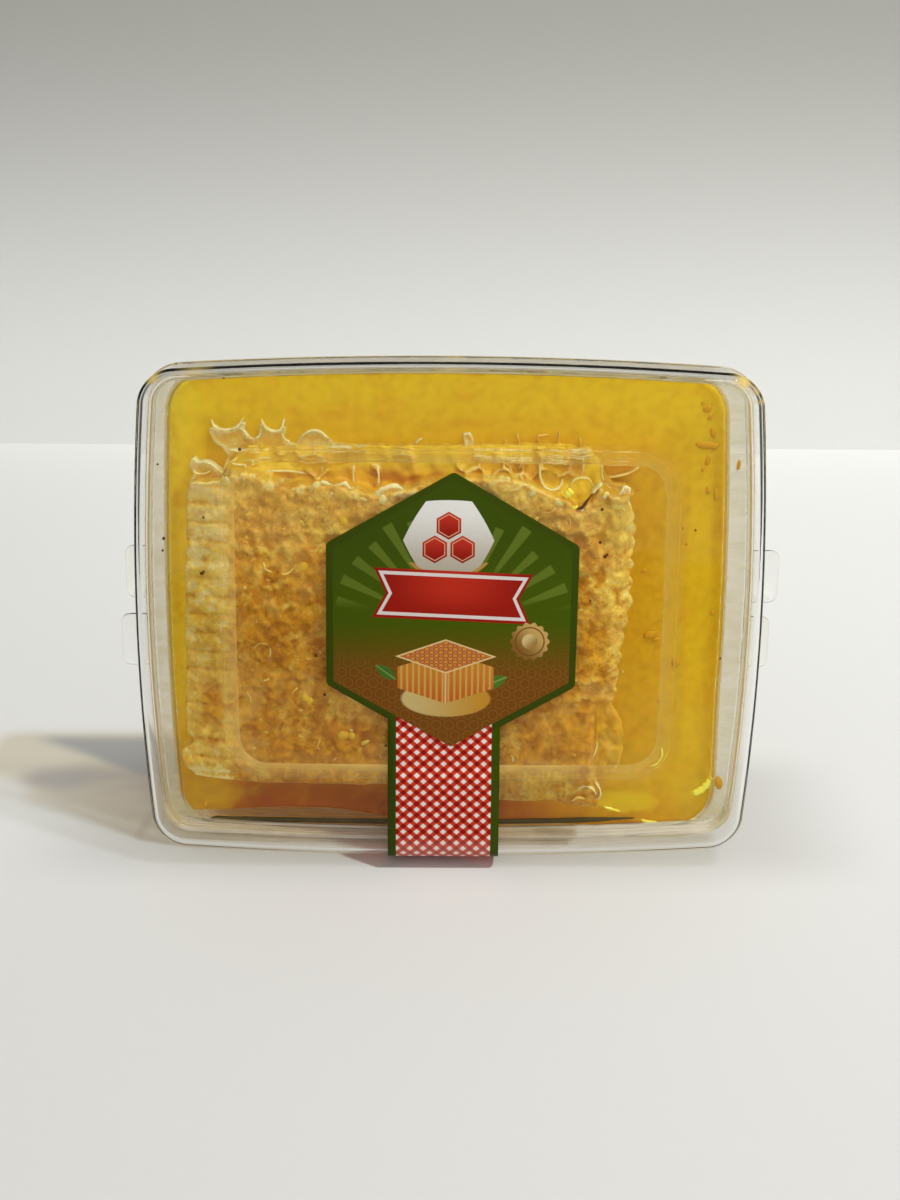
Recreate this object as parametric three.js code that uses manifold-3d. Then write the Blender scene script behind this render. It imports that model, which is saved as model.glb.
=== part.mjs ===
// Clear two-part retail pack of comb honey, leaning on its long side.
// Millimetres. Local pack frame: X across, Y from the lid's face (0) to the tray's back,
// Z up from the middle of the lid. At the end the whole pack is tipped back onto its
// standing line: the tray is narrower than the rim, so it leans.
import * as THREE from 'three';
import * as BufferGeometryUtils from 'three/addons/utils/BufferGeometryUtils.js';
import Module from 'manifold-3d';

const wasm = await Module();
wasm.setup();

// ---------------------------------------------------------------- lid
const HALF_W = 77.0;        // half width of the lid at mid height
const HALF_H = 62.4;        // half height of the lid at mid width
const BOW_W = 2.9;          // how far the short sides bow out
const BOW_H = 2.6;          // how far the long sides bow out
const CORNER_R = 8.2;       // corner radius of the outline
const FACE_R = 3.4;         // rounding between the lid's face and its walls
const LID_WALL = 1.2;       // lid wall thickness
const LID_DRAFT = 0.35;     // the lid narrows this much from rim to face
const LID_FLANGE_Y = 12.6;  // front of the lid's flange
const LID_BACK_Y = 13.9;    // back of the lid's flange
const LIP = 0.2;            // how far the flange stands out from the walls
const PANEL_HW = 52.0;      // half width of the sunk panel's floor
const PANEL_HH = 37.9;      // half height of the sunk panel's floor
const PANEL_R = 7.0;        // corner radius of that floor
const PANEL_SLOPE = 3.0;    // width of the slope around it
const PANEL_DEEP = 1.2;     // depth of the sunk panel
const PANEL_Z = 0.5;        // height of the panel's middle

// ---------------------------------------------------------------- tray
const RIM_Y = 14.1;         // front of the tray's rim plate
const RIM_BACK_Y = 15.2;    // back of the rim plate
const TRAY_HW = 69.9;       // half width of the cavity at the rim
const TRAY_HH = 59.2;       // half height of the cavity at the rim
const TRAY_R = 8.0;         // corner radius of the cavity
const TRAY_BOW = 2.0;       // how far the cavity's long sides bow
const TRAY_WALL = 1.0;
const TRAY_DRAFT = 0.2;     // narrowing from rim to back
const TRAY_BACK_Y = 34.5;   // outside of the tray's back
const TRAY_EDGE_R = 1.2;    // rounding of the back edge
const PLUG_OUT = 75.35;     // half width of the plug ring that enters the lid
const PLUG_WALL = 1.2;
const PLUG_Y = 9.5;         // front edge of the plug ring

// ---------------------------------------------------------------- latch tabs
const TAB_LEN = 13.4;       // along the side
const TAB_Z = 1.9;          // start of each tab from mid height
const LID_TAB_OUT = 5.3;    // reach beyond the side
const TRAY_TAB_OUT = 4.0;

// ---------------------------------------------------------------- contents
const CELL = 5.3;           // pitch of the comb's cells
const COMB_FACE_Y = 3.25;   // level of the cell rims against the panel
const COMB_FOOT_Y = 23.0;   // depth to which the comb stands in the honey
const CELL_DIP = 0.75;      // dip of each cell's capping
const HONEY_Y = 15.3;       // honey surface
const CLEAR = 0.28;         // gap left between touching pieces

// ---------------------------------------------------------------- labels
const FILM = 0.25;          // label film thickness
const HEX_SIDE = 35.3;      // side of the hexagonal label
const HEX_X = 0.5, HEX_Z = 0.9, HEX_TURN = -0.35 * Math.PI / 180;
const BAND_W = 27.8;        // width of the sealing band under the hexagon
const BAND_X = -1.2;
const BAND_TAIL = 8.0;      // how far the band climbs the tray's back
const BACK_LABEL_HW = 62.0, BACK_LABEL_Z0 = -47.0, BACK_LABEL_Z1 = 47.0;

const CORNER_STEPS = 5, SIDE_STEPS = 6;

// A closed outline: rounded rectangle whose sides bow outwards. Counter-clockwise in X, Z.
function outline(hw, hh, r, bowW, bowH, zc = 0) {
  const a = hw - bowW, b = hh - bowH, pts = [];
  const centres = [[a - r, b - r, 0], [-(a - r), b - r, 1], [-(a - r), -(b - r), 2], [a - r, -(b - r), 3]];
  const raw = [];
  centres.forEach(([cx, cz, q], k) => {
    for (let i = 0; i <= CORNER_STEPS; i++) {
      const t = (q + i / CORNER_STEPS) * Math.PI / 2;
      raw.push([cx + r * Math.cos(t), cz + r * Math.sin(t)]);
    }
    const [nx, nz, nq] = centres[(k + 1) % 4];
    const t1 = (q + 1) * Math.PI / 2;
    const p0 = [cx + r * Math.cos(t1), cz + r * Math.sin(t1)];
    const p1 = [nx + r * Math.cos(t1), nz + r * Math.sin(t1)];
    for (let i = 1; i < SIDE_STEPS; i++) {
      const u = i / SIDE_STEPS;
      raw.push([p0[0] + (p1[0] - p0[0]) * u, p0[1] + (p1[1] - p0[1]) * u]);
    }
  });
  for (const [x, z] of raw) {
    pts.push([x * (1 + bowW / a * (1 - (z / b) ** 2)), z * (1 + bowH / b * (1 - (x / a) ** 2)) + zc]);
  }
  return pts;
}

// Skin through a stack of outlines, each at its own depth, closed at both ends.
function loft(rings, capFirst = true, capLast = true, closed = false) {
  const n = rings[0].pts.length, pos = [], idx = [];
  for (const { y, pts } of rings) for (const [x, z] of pts) pos.push(x, y, z);
  const m = rings.length;
  for (let k = 0; k < (closed ? m : m - 1); k++) {
    const k2 = (k + 1) % m;
    for (let i = 0; i < n; i++) {
      const j = (i + 1) % n, a = k * n + i, b = k * n + j, c = k2 * n + j, d = k2 * n + i;
      idx.push(a, b, c, a, c, d);
    }
  }
  const cap = (k, flip) => {
    const shape = rings[k].pts.map(([x, z]) => new THREE.Vector2(x, z));
    for (const [a, b, c] of THREE.ShapeUtils.triangulateShape(shape, [])) {
      flip ? idx.push(k * n + a, k * n + c, k * n + b) : idx.push(k * n + a, k * n + b, k * n + c);
    }
  };
  if (!closed && capFirst) cap(0, true);
  if (!closed && capLast) cap(m - 1, false);
  const g = new THREE.BufferGeometry();
  g.setAttribute('position', new THREE.Float32BufferAttribute(pos, 3));
  g.setIndex(idx);
  return g;
}

function signedVolume(g) {
  const p = g.attributes.position, ix = g.index;
  let v = 0;
  const A = new THREE.Vector3(), B = new THREE.Vector3(), C = new THREE.Vector3();
  for (let i = 0; i < ix.count; i += 3) {
    A.fromBufferAttribute(p, ix.getX(i)); B.fromBufferAttribute(p, ix.getX(i + 1)); C.fromBufferAttribute(p, ix.getX(i + 2));
    v += A.dot(B.clone().cross(C)) / 6;
  }
  return v;
}

// Every closed skin is turned so that its faces point outwards.
function outward(g) {
  if (signedVolume(g) < 0) {
    const ix = g.index;
    for (let i = 0; i < ix.count; i += 3) { const t = ix.getX(i); ix.setX(i, ix.getX(i + 1)); ix.setX(i + 1, t); }
  }
  return g;
}

function weld(g) {
  const c = g.clone();
  c.deleteAttribute('normal'); c.deleteAttribute('uv');
  return BufferGeometryUtils.mergeVertices(c, 1e-5);
}

function toManifold(g) {
  const w = outward(weld(g));
  return new wasm.Manifold(new wasm.Mesh({
    numProp: 3,
    vertProperties: new Float32Array(w.attributes.position.array),
    triVerts: new Uint32Array(w.index.array),
  }));
}

function fromManifold(m) {
  const mesh = m.getMesh();
  const g = new THREE.BufferGeometry();
  const np = mesh.numProp, vp = mesh.vertProperties, pos = new Float32Array(vp.length / np * 3);
  for (let i = 0; i < vp.length / np; i++) for (let k = 0; k < 3; k++) pos[i * 3 + k] = vp[i * np + k];
  g.setAttribute('position', new THREE.BufferAttribute(pos, 3));
  g.setIndex(Array.from(mesh.triVerts));
  return g;
}

// Prism along Y from a flat outline in X, Z.
function prismY(pts, y0, y1, holes = []) {
  const shape = new THREE.Shape(pts.map(([x, z]) => new THREE.Vector2(x, z)));
  for (const h of holes) shape.holes.push(new THREE.Path(h.map(([x, z]) => new THREE.Vector2(x, z))));
  const g = new THREE.ExtrudeGeometry(shape, { depth: y1 - y0, bevelEnabled: false, curveSegments: 4 });
  g.rotateX(Math.PI / 2);            // shape's Y becomes Z, extrusion runs to -Y
  g.translate(0, y1, 0);
  return g;
}

// Prism along X from a section in Y, Z.
function prismX(pts, x0, x1) {
  const shape = new THREE.Shape(pts.map(([y, z]) => new THREE.Vector2(y, z)));
  const g = new THREE.ExtrudeGeometry(shape, { depth: x1 - x0, bevelEnabled: false });
  const m = new THREE.Matrix4().set(0, 0, 1, x0, 1, 0, 0, 0, 0, 1, 0, 0, 0, 0, 0, 1);
  g.applyMatrix4(m);
  return g;
}

function roundedTab(xRoot, xTip, z0, z1, y0, y1, r) {
  const s = Math.sign(xTip - xRoot), pts = [];
  const zc = [[z0 + r, -1], [z1 - r, 1]];
  pts.push([xRoot, z0]);
  for (let i = 0; i <= 4; i++) { const t = i / 4 * Math.PI / 2; pts.push([xTip - s * r + s * r * Math.sin(t), zc[0][0] - r * Math.cos(t)]); }
  for (let i = 0; i <= 4; i++) { const t = i / 4 * Math.PI / 2; pts.push([xTip - s * r + s * r * Math.cos(t), zc[1][0] + r * Math.sin(t)]); }
  pts.push([xRoot, z1]);
  return prismY(pts, y0, y1);
}

// ---------------------------------------------------------------- lid
function makeLid() {
  const outer = (grow, y) => ({ y, pts: outline(HALF_W + grow, HALF_H + grow, CORNER_R + grow, BOW_W, BOW_H) });
  const panel = (grow, y, bow = 0.35) => ({ y, pts: outline(PANEL_HW + grow, PANEL_HH + grow, PANEL_R + grow, bow, bow, PANEL_Z) });
  const rings = [];
  const t = LID_WALL;
  // outside, from the sunk panel to the flange
  rings.push(panel(0, PANEL_DEEP));
  rings.push(panel(PANEL_SLOPE, 0));
  for (let i = 0; i <= 4; i++) {
    const a = i / 4 * Math.PI / 2;
    rings.push(outer(-LID_DRAFT - FACE_R + FACE_R * Math.sin(a), FACE_R - FACE_R * Math.cos(a)));
  }
  rings.push(outer(0, LID_FLANGE_Y));
  rings.push(outer(LIP, LID_FLANGE_Y + 0.2));
  rings.push(outer(LIP, LID_BACK_Y));
  // inside, from the flange back to the panel
  rings.push(outer(-t, LID_BACK_Y));
  const ri = FACE_R - t;
  for (let i = 2; i >= 0; i--) {
    const a = i / 2 * Math.PI / 2;
    rings.push(outer(-LID_DRAFT - t - ri + ri * Math.sin(a), t + ri - ri * Math.cos(a)));
  }
  rings.push(panel(PANEL_SLOPE + 0.4, t));
  rings.push(panel(0.4, PANEL_DEEP + t));
  let lid = toManifold(loft(rings));
  for (const s of [1, -1]) {
    const z0 = s > 0 ? TAB_Z : -TAB_Z - TAB_LEN;
    const tab = roundedTab(s * (HALF_W - 0.6), s * (HALF_W + LID_TAB_OUT), z0, z0 + TAB_LEN, LID_FLANGE_Y + 0.2, LID_BACK_Y, 2.2);
    lid = lid.add(toManifold(tab));
  }
  return fromManifold(lid);
}

// ---------------------------------------------------------------- tray
function trayRing(grow, y) {
  return { y, pts: outline(TRAY_HW + grow, TRAY_HH + grow, TRAY_R + grow, TRAY_BOW, TRAY_BOW) };
}
function makeTray() {
  const outer = (grow, y) => ({ y, pts: outline(HALF_W + grow, HALF_H + grow, CORNER_R + grow, BOW_W, BOW_H) });
  const d = PLUG_OUT - HALF_W, rings = [];
  const depth = TRAY_BACK_Y - RIM_BACK_Y;
  // cavity floor, cavity wall, rim, plug ring, flange, outside wall, back
  rings.push(trayRing(-TRAY_DRAFT - 0.8, TRAY_BACK_Y - TRAY_WALL));
  rings.push(trayRing(-TRAY_DRAFT, TRAY_BACK_Y - TRAY_WALL - 0.8));
  rings.push(trayRing(0, RIM_Y));
  rings.push(outer(d - PLUG_WALL, RIM_Y));
  rings.push(outer(d - PLUG_WALL, PLUG_Y));
  rings.push(outer(d, PLUG_Y));
  rings.push(outer(d, RIM_Y));
  rings.push(outer(LIP, RIM_Y));
  rings.push(outer(LIP, RIM_BACK_Y));
  rings.push(trayRing(TRAY_WALL, RIM_BACK_Y));
  rings.push(trayRing(TRAY_WALL - TRAY_DRAFT, TRAY_BACK_Y - TRAY_EDGE_R));
  rings.push(trayRing(TRAY_WALL - TRAY_DRAFT - TRAY_EDGE_R * 0.293, TRAY_BACK_Y - TRAY_EDGE_R * 0.293));
  rings.push(trayRing(TRAY_WALL - TRAY_DRAFT - TRAY_EDGE_R, TRAY_BACK_Y));
  let tray = toManifold(loft(rings));
  for (const s of [1, -1]) {
    const z0 = s > 0 ? -TAB_Z - TAB_LEN : TAB_Z;
    const tab = roundedTab(s * (HALF_W - 0.6), s * (HALF_W + TRAY_TAB_OUT), z0, z0 + TAB_LEN, RIM_Y, RIM_BACK_Y, 2.2);
    tray = tray.add(toManifold(tab));
  }
  return fromManifold(tray);
}

// ---------------------------------------------------------------- standing line
// The pack touches the table at the rim plate's back corner and on the tray's back edge.
const FOOT_A = [RIM_BACK_Y, -(HALF_H + LIP)];
const FOOT_C = [TRAY_BACK_Y - TRAY_EDGE_R, -(TRAY_HH + TRAY_WALL - TRAY_DRAFT) + TRAY_EDGE_R];
const FOOT_D = [FOOT_C[0] - FOOT_A[0], FOOT_C[1] - FOOT_A[1]];
const LEAN = Math.atan2(FOOT_D[1], FOOT_D[0]) - Math.asin(TRAY_EDGE_R / Math.hypot(...FOOT_D));

// ---------------------------------------------------------------- label
function bandSection() {
  // outer surface of the film, from the hexagon down, under the pack and up the back
  const gap = 0.2, off = gap + FILM, out = [];
  const yPanel = PANEL_DEEP - off, yFace = -off;
  out.push([yPanel, -30.0]);
  out.push([yPanel, PANEL_Z - PANEL_HH + 0.4]);
  out.push([yFace, PANEL_Z - PANEL_HH - PANEL_SLOPE - 0.2]);
  const zc = -(HALF_H - LID_DRAFT - FACE_R), yc = FACE_R, R = FACE_R + off;
  for (let i = 0; i <= 6; i++) {
    const a = i / 6 * (Math.PI / 2 - 0.02);
    out.push([yc - R * Math.cos(a), zc - R * Math.sin(a)]);
  }
  // the film leaves the lid's wall, passes the flange and runs straight to the tray's back edge
  const n = [-Math.sin(LEAN), -Math.cos(LEAN)];   // down, square to the standing line
  const lid = [LID_FLANGE_Y - 0.5, -(HALF_H + off)];
  out.push(lid);
  out.push([LID_FLANGE_Y + 0.2, -(HALF_H + LIP + off)]);
  out.push([FOOT_A[0] + n[0] * off, FOOT_A[1] + n[1] * off]);
  const Rb = TRAY_EDGE_R + off;
  for (let i = 0; i <= 4; i++) {
    const a = -Math.PI / 2 - LEAN + i / 4 * (Math.PI / 2 + LEAN);
    out.push([FOOT_C[0] + Rb * Math.cos(a), FOOT_C[1] + Rb * Math.sin(a)]);
  }
  out.push([FOOT_C[0] + Rb, FOOT_C[1] + BAND_TAIL]);
  // inner surface: the same path moved in by the film's thickness
  const inner = out.map((p, i) => {
    const a = out[Math.max(0, i - 1)], b = out[Math.min(out.length - 1, i + 1)];
    const d1 = i > 0 ? [p[0] - a[0], p[1] - a[1]] : [b[0] - p[0], b[1] - p[1]];
    const d2 = i < out.length - 1 ? [b[0] - p[0], b[1] - p[1]] : d1;
    const l1 = Math.hypot(...d1), l2 = Math.hypot(...d2);
    const n1 = [-d1[1] / l1, d1[0] / l1], n2 = [-d2[1] / l2, d2[0] / l2];
    const k = 1 + n1[0] * n2[0] + n1[1] * n2[1];
    return [p[0] + (n1[0] + n2[0]) / k * FILM, p[1] + (n1[1] + n2[1]) / k * FILM];
  });
  return out.concat(inner.reverse());
}

function hexagonOutline(side, cx, cz, turn, r = 1.6) {
  const v = [];
  for (let i = 0; i < 6; i++) { const t = Math.PI / 6 + i * Math.PI / 3 + turn; v.push([cx + side * Math.cos(t), cz + side * Math.sin(t)]); }
  const out = [];
  for (let i = 0; i < 6; i++) {
    const p = v[i], a = v[(i + 5) % 6], b = v[(i + 1) % 6];
    const cut = r * Math.tan(Math.PI / 6);
    const ua = [(a[0] - p[0]) / side, (a[1] - p[1]) / side], ub = [(b[0] - p[0]) / side, (b[1] - p[1]) / side];
    out.push([p[0] + ua[0] * cut, p[1] + ua[1] * cut]);
    out.push([p[0] + (ua[0] + ub[0]) * cut * 0.28, p[1] + (ua[1] + ub[1]) * cut * 0.28]);
    out.push([p[0] + ub[0] * cut, p[1] + ub[1] * cut]);
  }
  return out;
}

function makeLabel() {
  const y1 = PANEL_DEEP - 0.2, y0 = y1 - FILM;
  const hex = toManifold(prismY(hexagonOutline(HEX_SIDE, HEX_X, HEX_Z, HEX_TURN), y0, y1));
  const x0 = BAND_X - BAND_W / 2, x1 = BAND_X + BAND_W / 2;
  const flat = toManifold(prismY([[x0, -31], [x1, -31], [x1, -15.5], [x0, -15.5]], y0, y1));
  const band = toManifold(prismX(bandSection(), x0, x1));
  return fromManifold(hex.add(flat).add(band));
}

function makeBackLabel() {
  const y0 = TRAY_BACK_Y + 0.2, r = 3, pts = [];
  const z0 = BACK_LABEL_Z0, z1 = BACK_LABEL_Z1, w = BACK_LABEL_HW;
  for (const [cx, cz, q] of [[w - r, z1 - r, 0], [-(w - r), z1 - r, 1], [-(w - r), z0 + r, 2], [w - r, z0 + r, 3]]) {
    for (let i = 0; i <= 3; i++) { const t = (q + i / 3) * Math.PI / 2; pts.push([cx + r * Math.cos(t), cz + r * Math.sin(t)]); }
  }
  return prismY(pts, y0, y0 + FILM);
}

// ---------------------------------------------------------------- comb
// Even noise from a whole-number hash, 0 to 1.
function hash(a, b, c = 0) {
  let h = (a * 374761393 + b * 668265263 + c * 2147483647) | 0;
  h = Math.imul(h ^ (h >>> 13), 1274126177);
  h ^= h >>> 16;
  return (h >>> 0) / 4294967295;
}

// The cut piece: edges of its face, and how far each edge falls back.
const COMB = { left: -63.0, right: 44.5, bottom: -50.5, top: 42.5 };
function combDepth(x, z) {
  const edge = (d, width, drop) => (d >= width ? 0 : drop * (1 - Math.max(0, d) / width) ** 1.6);
  return edge(x - COMB.left, 12, 3.2) + edge(COMB.right - x, 7, 3.6)
    + edge(z - COMB.bottom, 9, 3.0) + edge(COMB.top - z, 13, 8.2);
}

function combCells() {
  const pitchZ = CELL * Math.sqrt(3) / 2, cells = [];
  for (let j = -14; j <= 14; j++) {
    for (let i = -16; i <= 16; i++) {
      const x = (i + (j & 1 ? 0.5 : 0)) * CELL - 9, z = j * pitchZ - 4;
      const m = CELL * 0.42;
      const wob = 1.6 * Math.sin(z * 0.11 + 1.3) + 1.1 * Math.sin(z * 0.31);
      const wobz = 1.5 * Math.sin(x * 0.09) + 1.0 * Math.sin(x * 0.27 + 2);
      if (x < COMB.left + m + wob * 0.5 || x > COMB.right - m + wob) continue;
      if (z < COMB.bottom + m + wobz * 0.5 || z > COMB.top - m + wobz) continue;
      if (z > COMB.top - m + wobz - pitchZ && hash(i, j, 5) > 0.6) continue;   // torn top edge
      if (x < -52 && z < -42) continue;                          // broken lower corner
      cells.push([i, j, x, z]);
    }
  }
  return cells;
}

function makeComb() {
  const cells = combCells(), r = CELL / Math.sqrt(3);
  const key = (x, z) => `${Math.round((x + 9) / (CELL / 2))},${Math.round((z + 4) / (r / 2))}`;
  const verts = [], map = new Map(), edges = new Map();
  const vert = (x, z) => {
    const k = key(x, z);
    if (!map.has(k)) { map.set(k, verts.length); verts.push([x, z]); }
    return map.get(k);
  };
  const centres = [];
  for (const [i, j, x, z] of cells) {
    const ring = [];
    for (let k = 0; k < 6; k++) { const t = Math.PI / 6 + k * Math.PI / 3; ring.push(vert(x + r * Math.cos(t), z + r * Math.sin(t))); }
    centres.push({ i, j, x, z, ring });
    for (let k = 0; k < 6; k++) {
      const a = ring[k], b = ring[(k + 1) % 6];
      edges.set(`${a},${b}`, [a, b]);
    }
  }
  // boundary: directed edges with no partner, chained into loops
  const next = new Map();
  for (const [a, b] of edges.values()) if (!edges.has(`${b},${a}`)) next.set(a, b);
  const loops = [];
  const left = new Set(next.keys());
  while (left.size) {
    const start = left.values().next().value, loop = [];
    let v = start;
    while (left.has(v)) { left.delete(v); loop.push(v); v = next.get(v); }
    loops.push(loop);
  }
  loops.sort((p, q) => q.length - p.length);
  return { cells: centres, verts, loops };
}

function combGeometry(c) {
  const pos = [], idx = [];
  const front = c.verts.map(([x, z], k) => {
    const y = COMB_FACE_Y + combDepth(x, z) + (hash(k, 3) - 0.5) * 0.7;
    pos.push(x + (hash(k, 1) - 0.5) * 0.5, Math.max(COMB_FACE_Y - 0.25, y), z + (hash(k, 2) - 0.5) * 0.5);
    return k;
  });
  for (const { i, j, x, z, ring } of c.cells) {
    const n = pos.length / 3;
    pos.push(x, COMB_FACE_Y + combDepth(x, z) + CELL_DIP * (0.4 + 0.9 * hash(i, j, 9)), z);
    for (let k = 0; k < 6; k++) idx.push(n, ring[(k + 1) % 6], ring[k]);
  }
  // walls: the cut face splays a little to the honey line, then goes straight down
  const loop = c.loops[0], m = loop.length;
  const levels = [HONEY_Y - 0.4, COMB_FOOT_Y];
  const base = [];
  levels.forEach((y, l) => {
    base.push(pos.length / 3);
    for (const v of loop) pos.push(c.verts[v][0], y, c.verts[v][1]);
  });
  for (let k = 0; k < m; k++) {
    const k2 = (k + 1) % m, a = front[loop[k]], b = front[loop[k2]];
    idx.push(a, b, base[0] + k2, a, base[0] + k2, base[0] + k);
    idx.push(base[0] + k, base[0] + k2, base[1] + k2, base[0] + k, base[1] + k2, base[1] + k);
  }
  const floor = loop.map((v) => new THREE.Vector2(c.verts[v][0], c.verts[v][1]));
  for (const [a, b, d] of THREE.ShapeUtils.triangulateShape(floor, [])) idx.push(base[1] + a, base[1] + b, base[1] + d);
  const g = new THREE.BufferGeometry();
  g.setAttribute('position', new THREE.Float32BufferAttribute(pos, 3));
  g.setIndex(idx);
  return g;
}

// Outline moved outwards by d, corner by corner.
function grown(pts, d) {
  const n = pts.length;
  return pts.map((p, i) => {
    const a = pts[(i + n - 1) % n], b = pts[(i + 1) % n];
    const d1 = [p[0] - a[0], p[1] - a[1]], d2 = [b[0] - p[0], b[1] - p[1]];
    const l1 = Math.hypot(...d1), l2 = Math.hypot(...d2);
    const n1 = [d1[1] / l1, -d1[0] / l1], n2 = [d2[1] / l2, -d2[0] / l2];
    const k = 1 + n1[0] * n2[0] + n1[1] * n2[1];
    return [p[0] + (n1[0] + n2[0]) / k * d, p[1] + (n1[1] + n2[1]) / k * d];
  });
}

function makeHoney(c) {
  const y1 = TRAY_BACK_Y - TRAY_WALL - CLEAR;
  const rings = [
    trayRing(-CLEAR, HONEY_Y),
    trayRing(-TRAY_DRAFT - CLEAR, y1 - 0.8),
    trayRing(-TRAY_DRAFT - CLEAR - 0.8, y1),
  ];
  const block = toManifold(loft(rings));
  const pocket = grown(c.loops[0].map((v) => c.verts[v]), 0.2);
  return fromManifold(block.subtract(toManifold(prismY(pocket, HONEY_Y - 2, COMB_FOOT_Y + CLEAR))));
}

// ---------------------------------------------------------------- assembly
const comb = makeComb();
const pieces = {
  lid: [makeLid(), 0xe9eef0, 0.08],
  tray: [makeTray(), 0xe6ebee, 0.08],
  label: [makeLabel(), 0x2f5a1e, 0.45],
  back_label: [makeBackLabel(), 0x2f5a1e, 0.5],
  honey: [makeHoney(comb), 0xe0a51e, 0.15],
  comb: [combGeometry(comb), 0xd9b060, 0.6],
};

const tip = new THREE.Matrix4().makeRotationX(-LEAN);
const box = new THREE.Box3();
const geos = {};
for (const [name, [g]] of Object.entries(pieces)) {
  const w = outward(weld(g));
  w.applyMatrix4(tip);
  w.computeBoundingBox();
  box.union(w.boundingBox);
  geos[name] = w;
}
const mid = box.getCenter(new THREE.Vector3());
const root = new THREE.Group();
root.name = 'comb_honey_pack';
root.userData = { lean_deg: LEAN * 180 / Math.PI, shift: [-mid.x, -mid.y, -box.min.z] };
for (const [name, [, colour, rough]] of Object.entries(pieces)) {
  const g = geos[name];
  g.translate(-mid.x, -mid.y, -box.min.z);
  g.computeVertexNormals();
  const mesh = new THREE.Mesh(g, new THREE.MeshStandardMaterial({ color: colour, roughness: rough }));
  mesh.name = name;
  root.add(mesh);
}

export default root;
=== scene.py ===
"""Comb honey in a clear two-part retail pack, leaning on its long side.

Lengths are given in millimetres in the pack's own frame (X across, Y from the lid's face to the
tray's back, Z up from the middle of the lid) and W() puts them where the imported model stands.
"""

import bpy
import bmesh
import math
import numpy as np
from mathutils import Matrix, Vector


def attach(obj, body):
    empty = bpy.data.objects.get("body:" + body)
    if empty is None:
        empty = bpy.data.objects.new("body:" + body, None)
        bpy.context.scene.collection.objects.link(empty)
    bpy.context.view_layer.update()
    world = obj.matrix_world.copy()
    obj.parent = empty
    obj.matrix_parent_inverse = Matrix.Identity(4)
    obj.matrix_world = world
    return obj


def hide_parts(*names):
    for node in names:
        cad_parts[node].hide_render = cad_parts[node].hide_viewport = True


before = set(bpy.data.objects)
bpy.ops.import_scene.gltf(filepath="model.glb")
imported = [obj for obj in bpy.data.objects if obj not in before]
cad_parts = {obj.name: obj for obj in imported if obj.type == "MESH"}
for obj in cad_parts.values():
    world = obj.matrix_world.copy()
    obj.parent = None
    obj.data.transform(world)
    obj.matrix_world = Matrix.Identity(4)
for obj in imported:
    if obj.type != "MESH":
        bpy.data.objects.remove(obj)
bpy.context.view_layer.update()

# ------------------------------------------------------------------ pack sizes, as in the model
HALF_W, HALF_H, BOW_W, BOW_H, CORNER_R = 77.0, 62.4, 2.9, 2.6, 8.2
FACE_R, LID_WALL, LID_DRAFT = 3.4, 1.2, 0.35
LID_FLANGE_Y, LID_BACK_Y, LIP = 12.6, 13.9, 0.2
PANEL_HW, PANEL_HH, PANEL_R, PANEL_SLOPE, PANEL_DEEP, PANEL_Z = 52.0, 37.9, 7.0, 3.0, 1.2, 0.5
RIM_Y, RIM_BACK_Y = 14.1, 15.2
TRAY_HW, TRAY_HH, TRAY_R, TRAY_BOW = 69.9, 59.2, 8.0, 2.0
TRAY_WALL, TRAY_DRAFT, TRAY_BACK_Y, TRAY_EDGE_R = 1.0, 0.2, 34.5, 1.2
PLUG_OUT, PLUG_WALL, PLUG_Y = 75.35, 1.2, 9.5
TAB_LEN, TAB_Z, LID_TAB_OUT, TRAY_TAB_OUT = 13.4, 1.9, 5.3, 4.0
CELL = 5.3
HONEY_Y = 15.3
FILM = 0.25
HEX_SIDE, HEX_X, HEX_Z = 35.3, 0.5, 0.9
HEX_TURN = math.radians(-0.35)
BAND_W, BAND_X, BAND_TAIL = 27.8, -1.2, 8.0
BACK_HW, BACK_Z0, BACK_Z1 = 62.0, -47.0, 47.0

_a = (RIM_BACK_Y, -(HALF_H + LIP))
_c = (TRAY_BACK_Y - TRAY_EDGE_R, -(TRAY_HH + TRAY_WALL - TRAY_DRAFT) + TRAY_EDGE_R)
_d = (_c[0] - _a[0], _c[1] - _a[1])
LEAN = math.atan2(_d[1], _d[0]) - math.asin(TRAY_EDGE_R / math.hypot(*_d))
CL, SL = math.cos(LEAN), math.sin(LEAN)
SHIFT_Y, SHIFT_Z = -16.858, 64.554


def W(p):
    """Pack millimetres to the model's metres."""
    p = np.asarray(p, float)
    return np.stack(
        [p[..., 0], p[..., 1] * CL + p[..., 2] * SL + SHIFT_Y, -p[..., 1] * SL + p[..., 2] * CL + SHIFT_Z], -1
    ) / 1000.0


def turn(v):
    return Vector((v[0], v[1] * CL + v[2] * SL, -v[1] * SL + v[2] * CL))


# ------------------------------------------------------------------ even noise
def _hash(i, j, s):
    h = (i.astype(np.int64) * 374761393 + j.astype(np.int64) * 668265263 + s * 362437) & 0xFFFFFFFF
    h = ((h ^ (h >> 13)) * 1274126177) & 0xFFFFFFFF
    h = h ^ (h >> 16)
    return h / 4294967295.0


def noise(x, z, s=0):
    """Smooth value noise, 0 to 1, one bump per unit."""
    x, z = np.asarray(x, float), np.asarray(z, float)
    i, j = np.floor(x), np.floor(z)
    u, v = x - i, z - j
    u, v = u * u * (3 - 2 * u), v * v * (3 - 2 * v)
    a, b = _hash(i, j, s), _hash(i + 1, j, s)
    c, d = _hash(i, j + 1, s), _hash(i + 1, j + 1, s)
    return (a * (1 - u) + b * u) * (1 - v) + (c * (1 - u) + d * u) * v


def fbm(x, z, s=0, octaves=4):
    total, amp, norm = 0.0, 1.0, 0.0
    for k in range(octaves):
        total = total + amp * noise(x * 2**k + 17.3 * k, z * 2**k - 9.1 * k, s + 31 * k)
        norm += amp
        amp *= 0.5
    return total / norm


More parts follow.
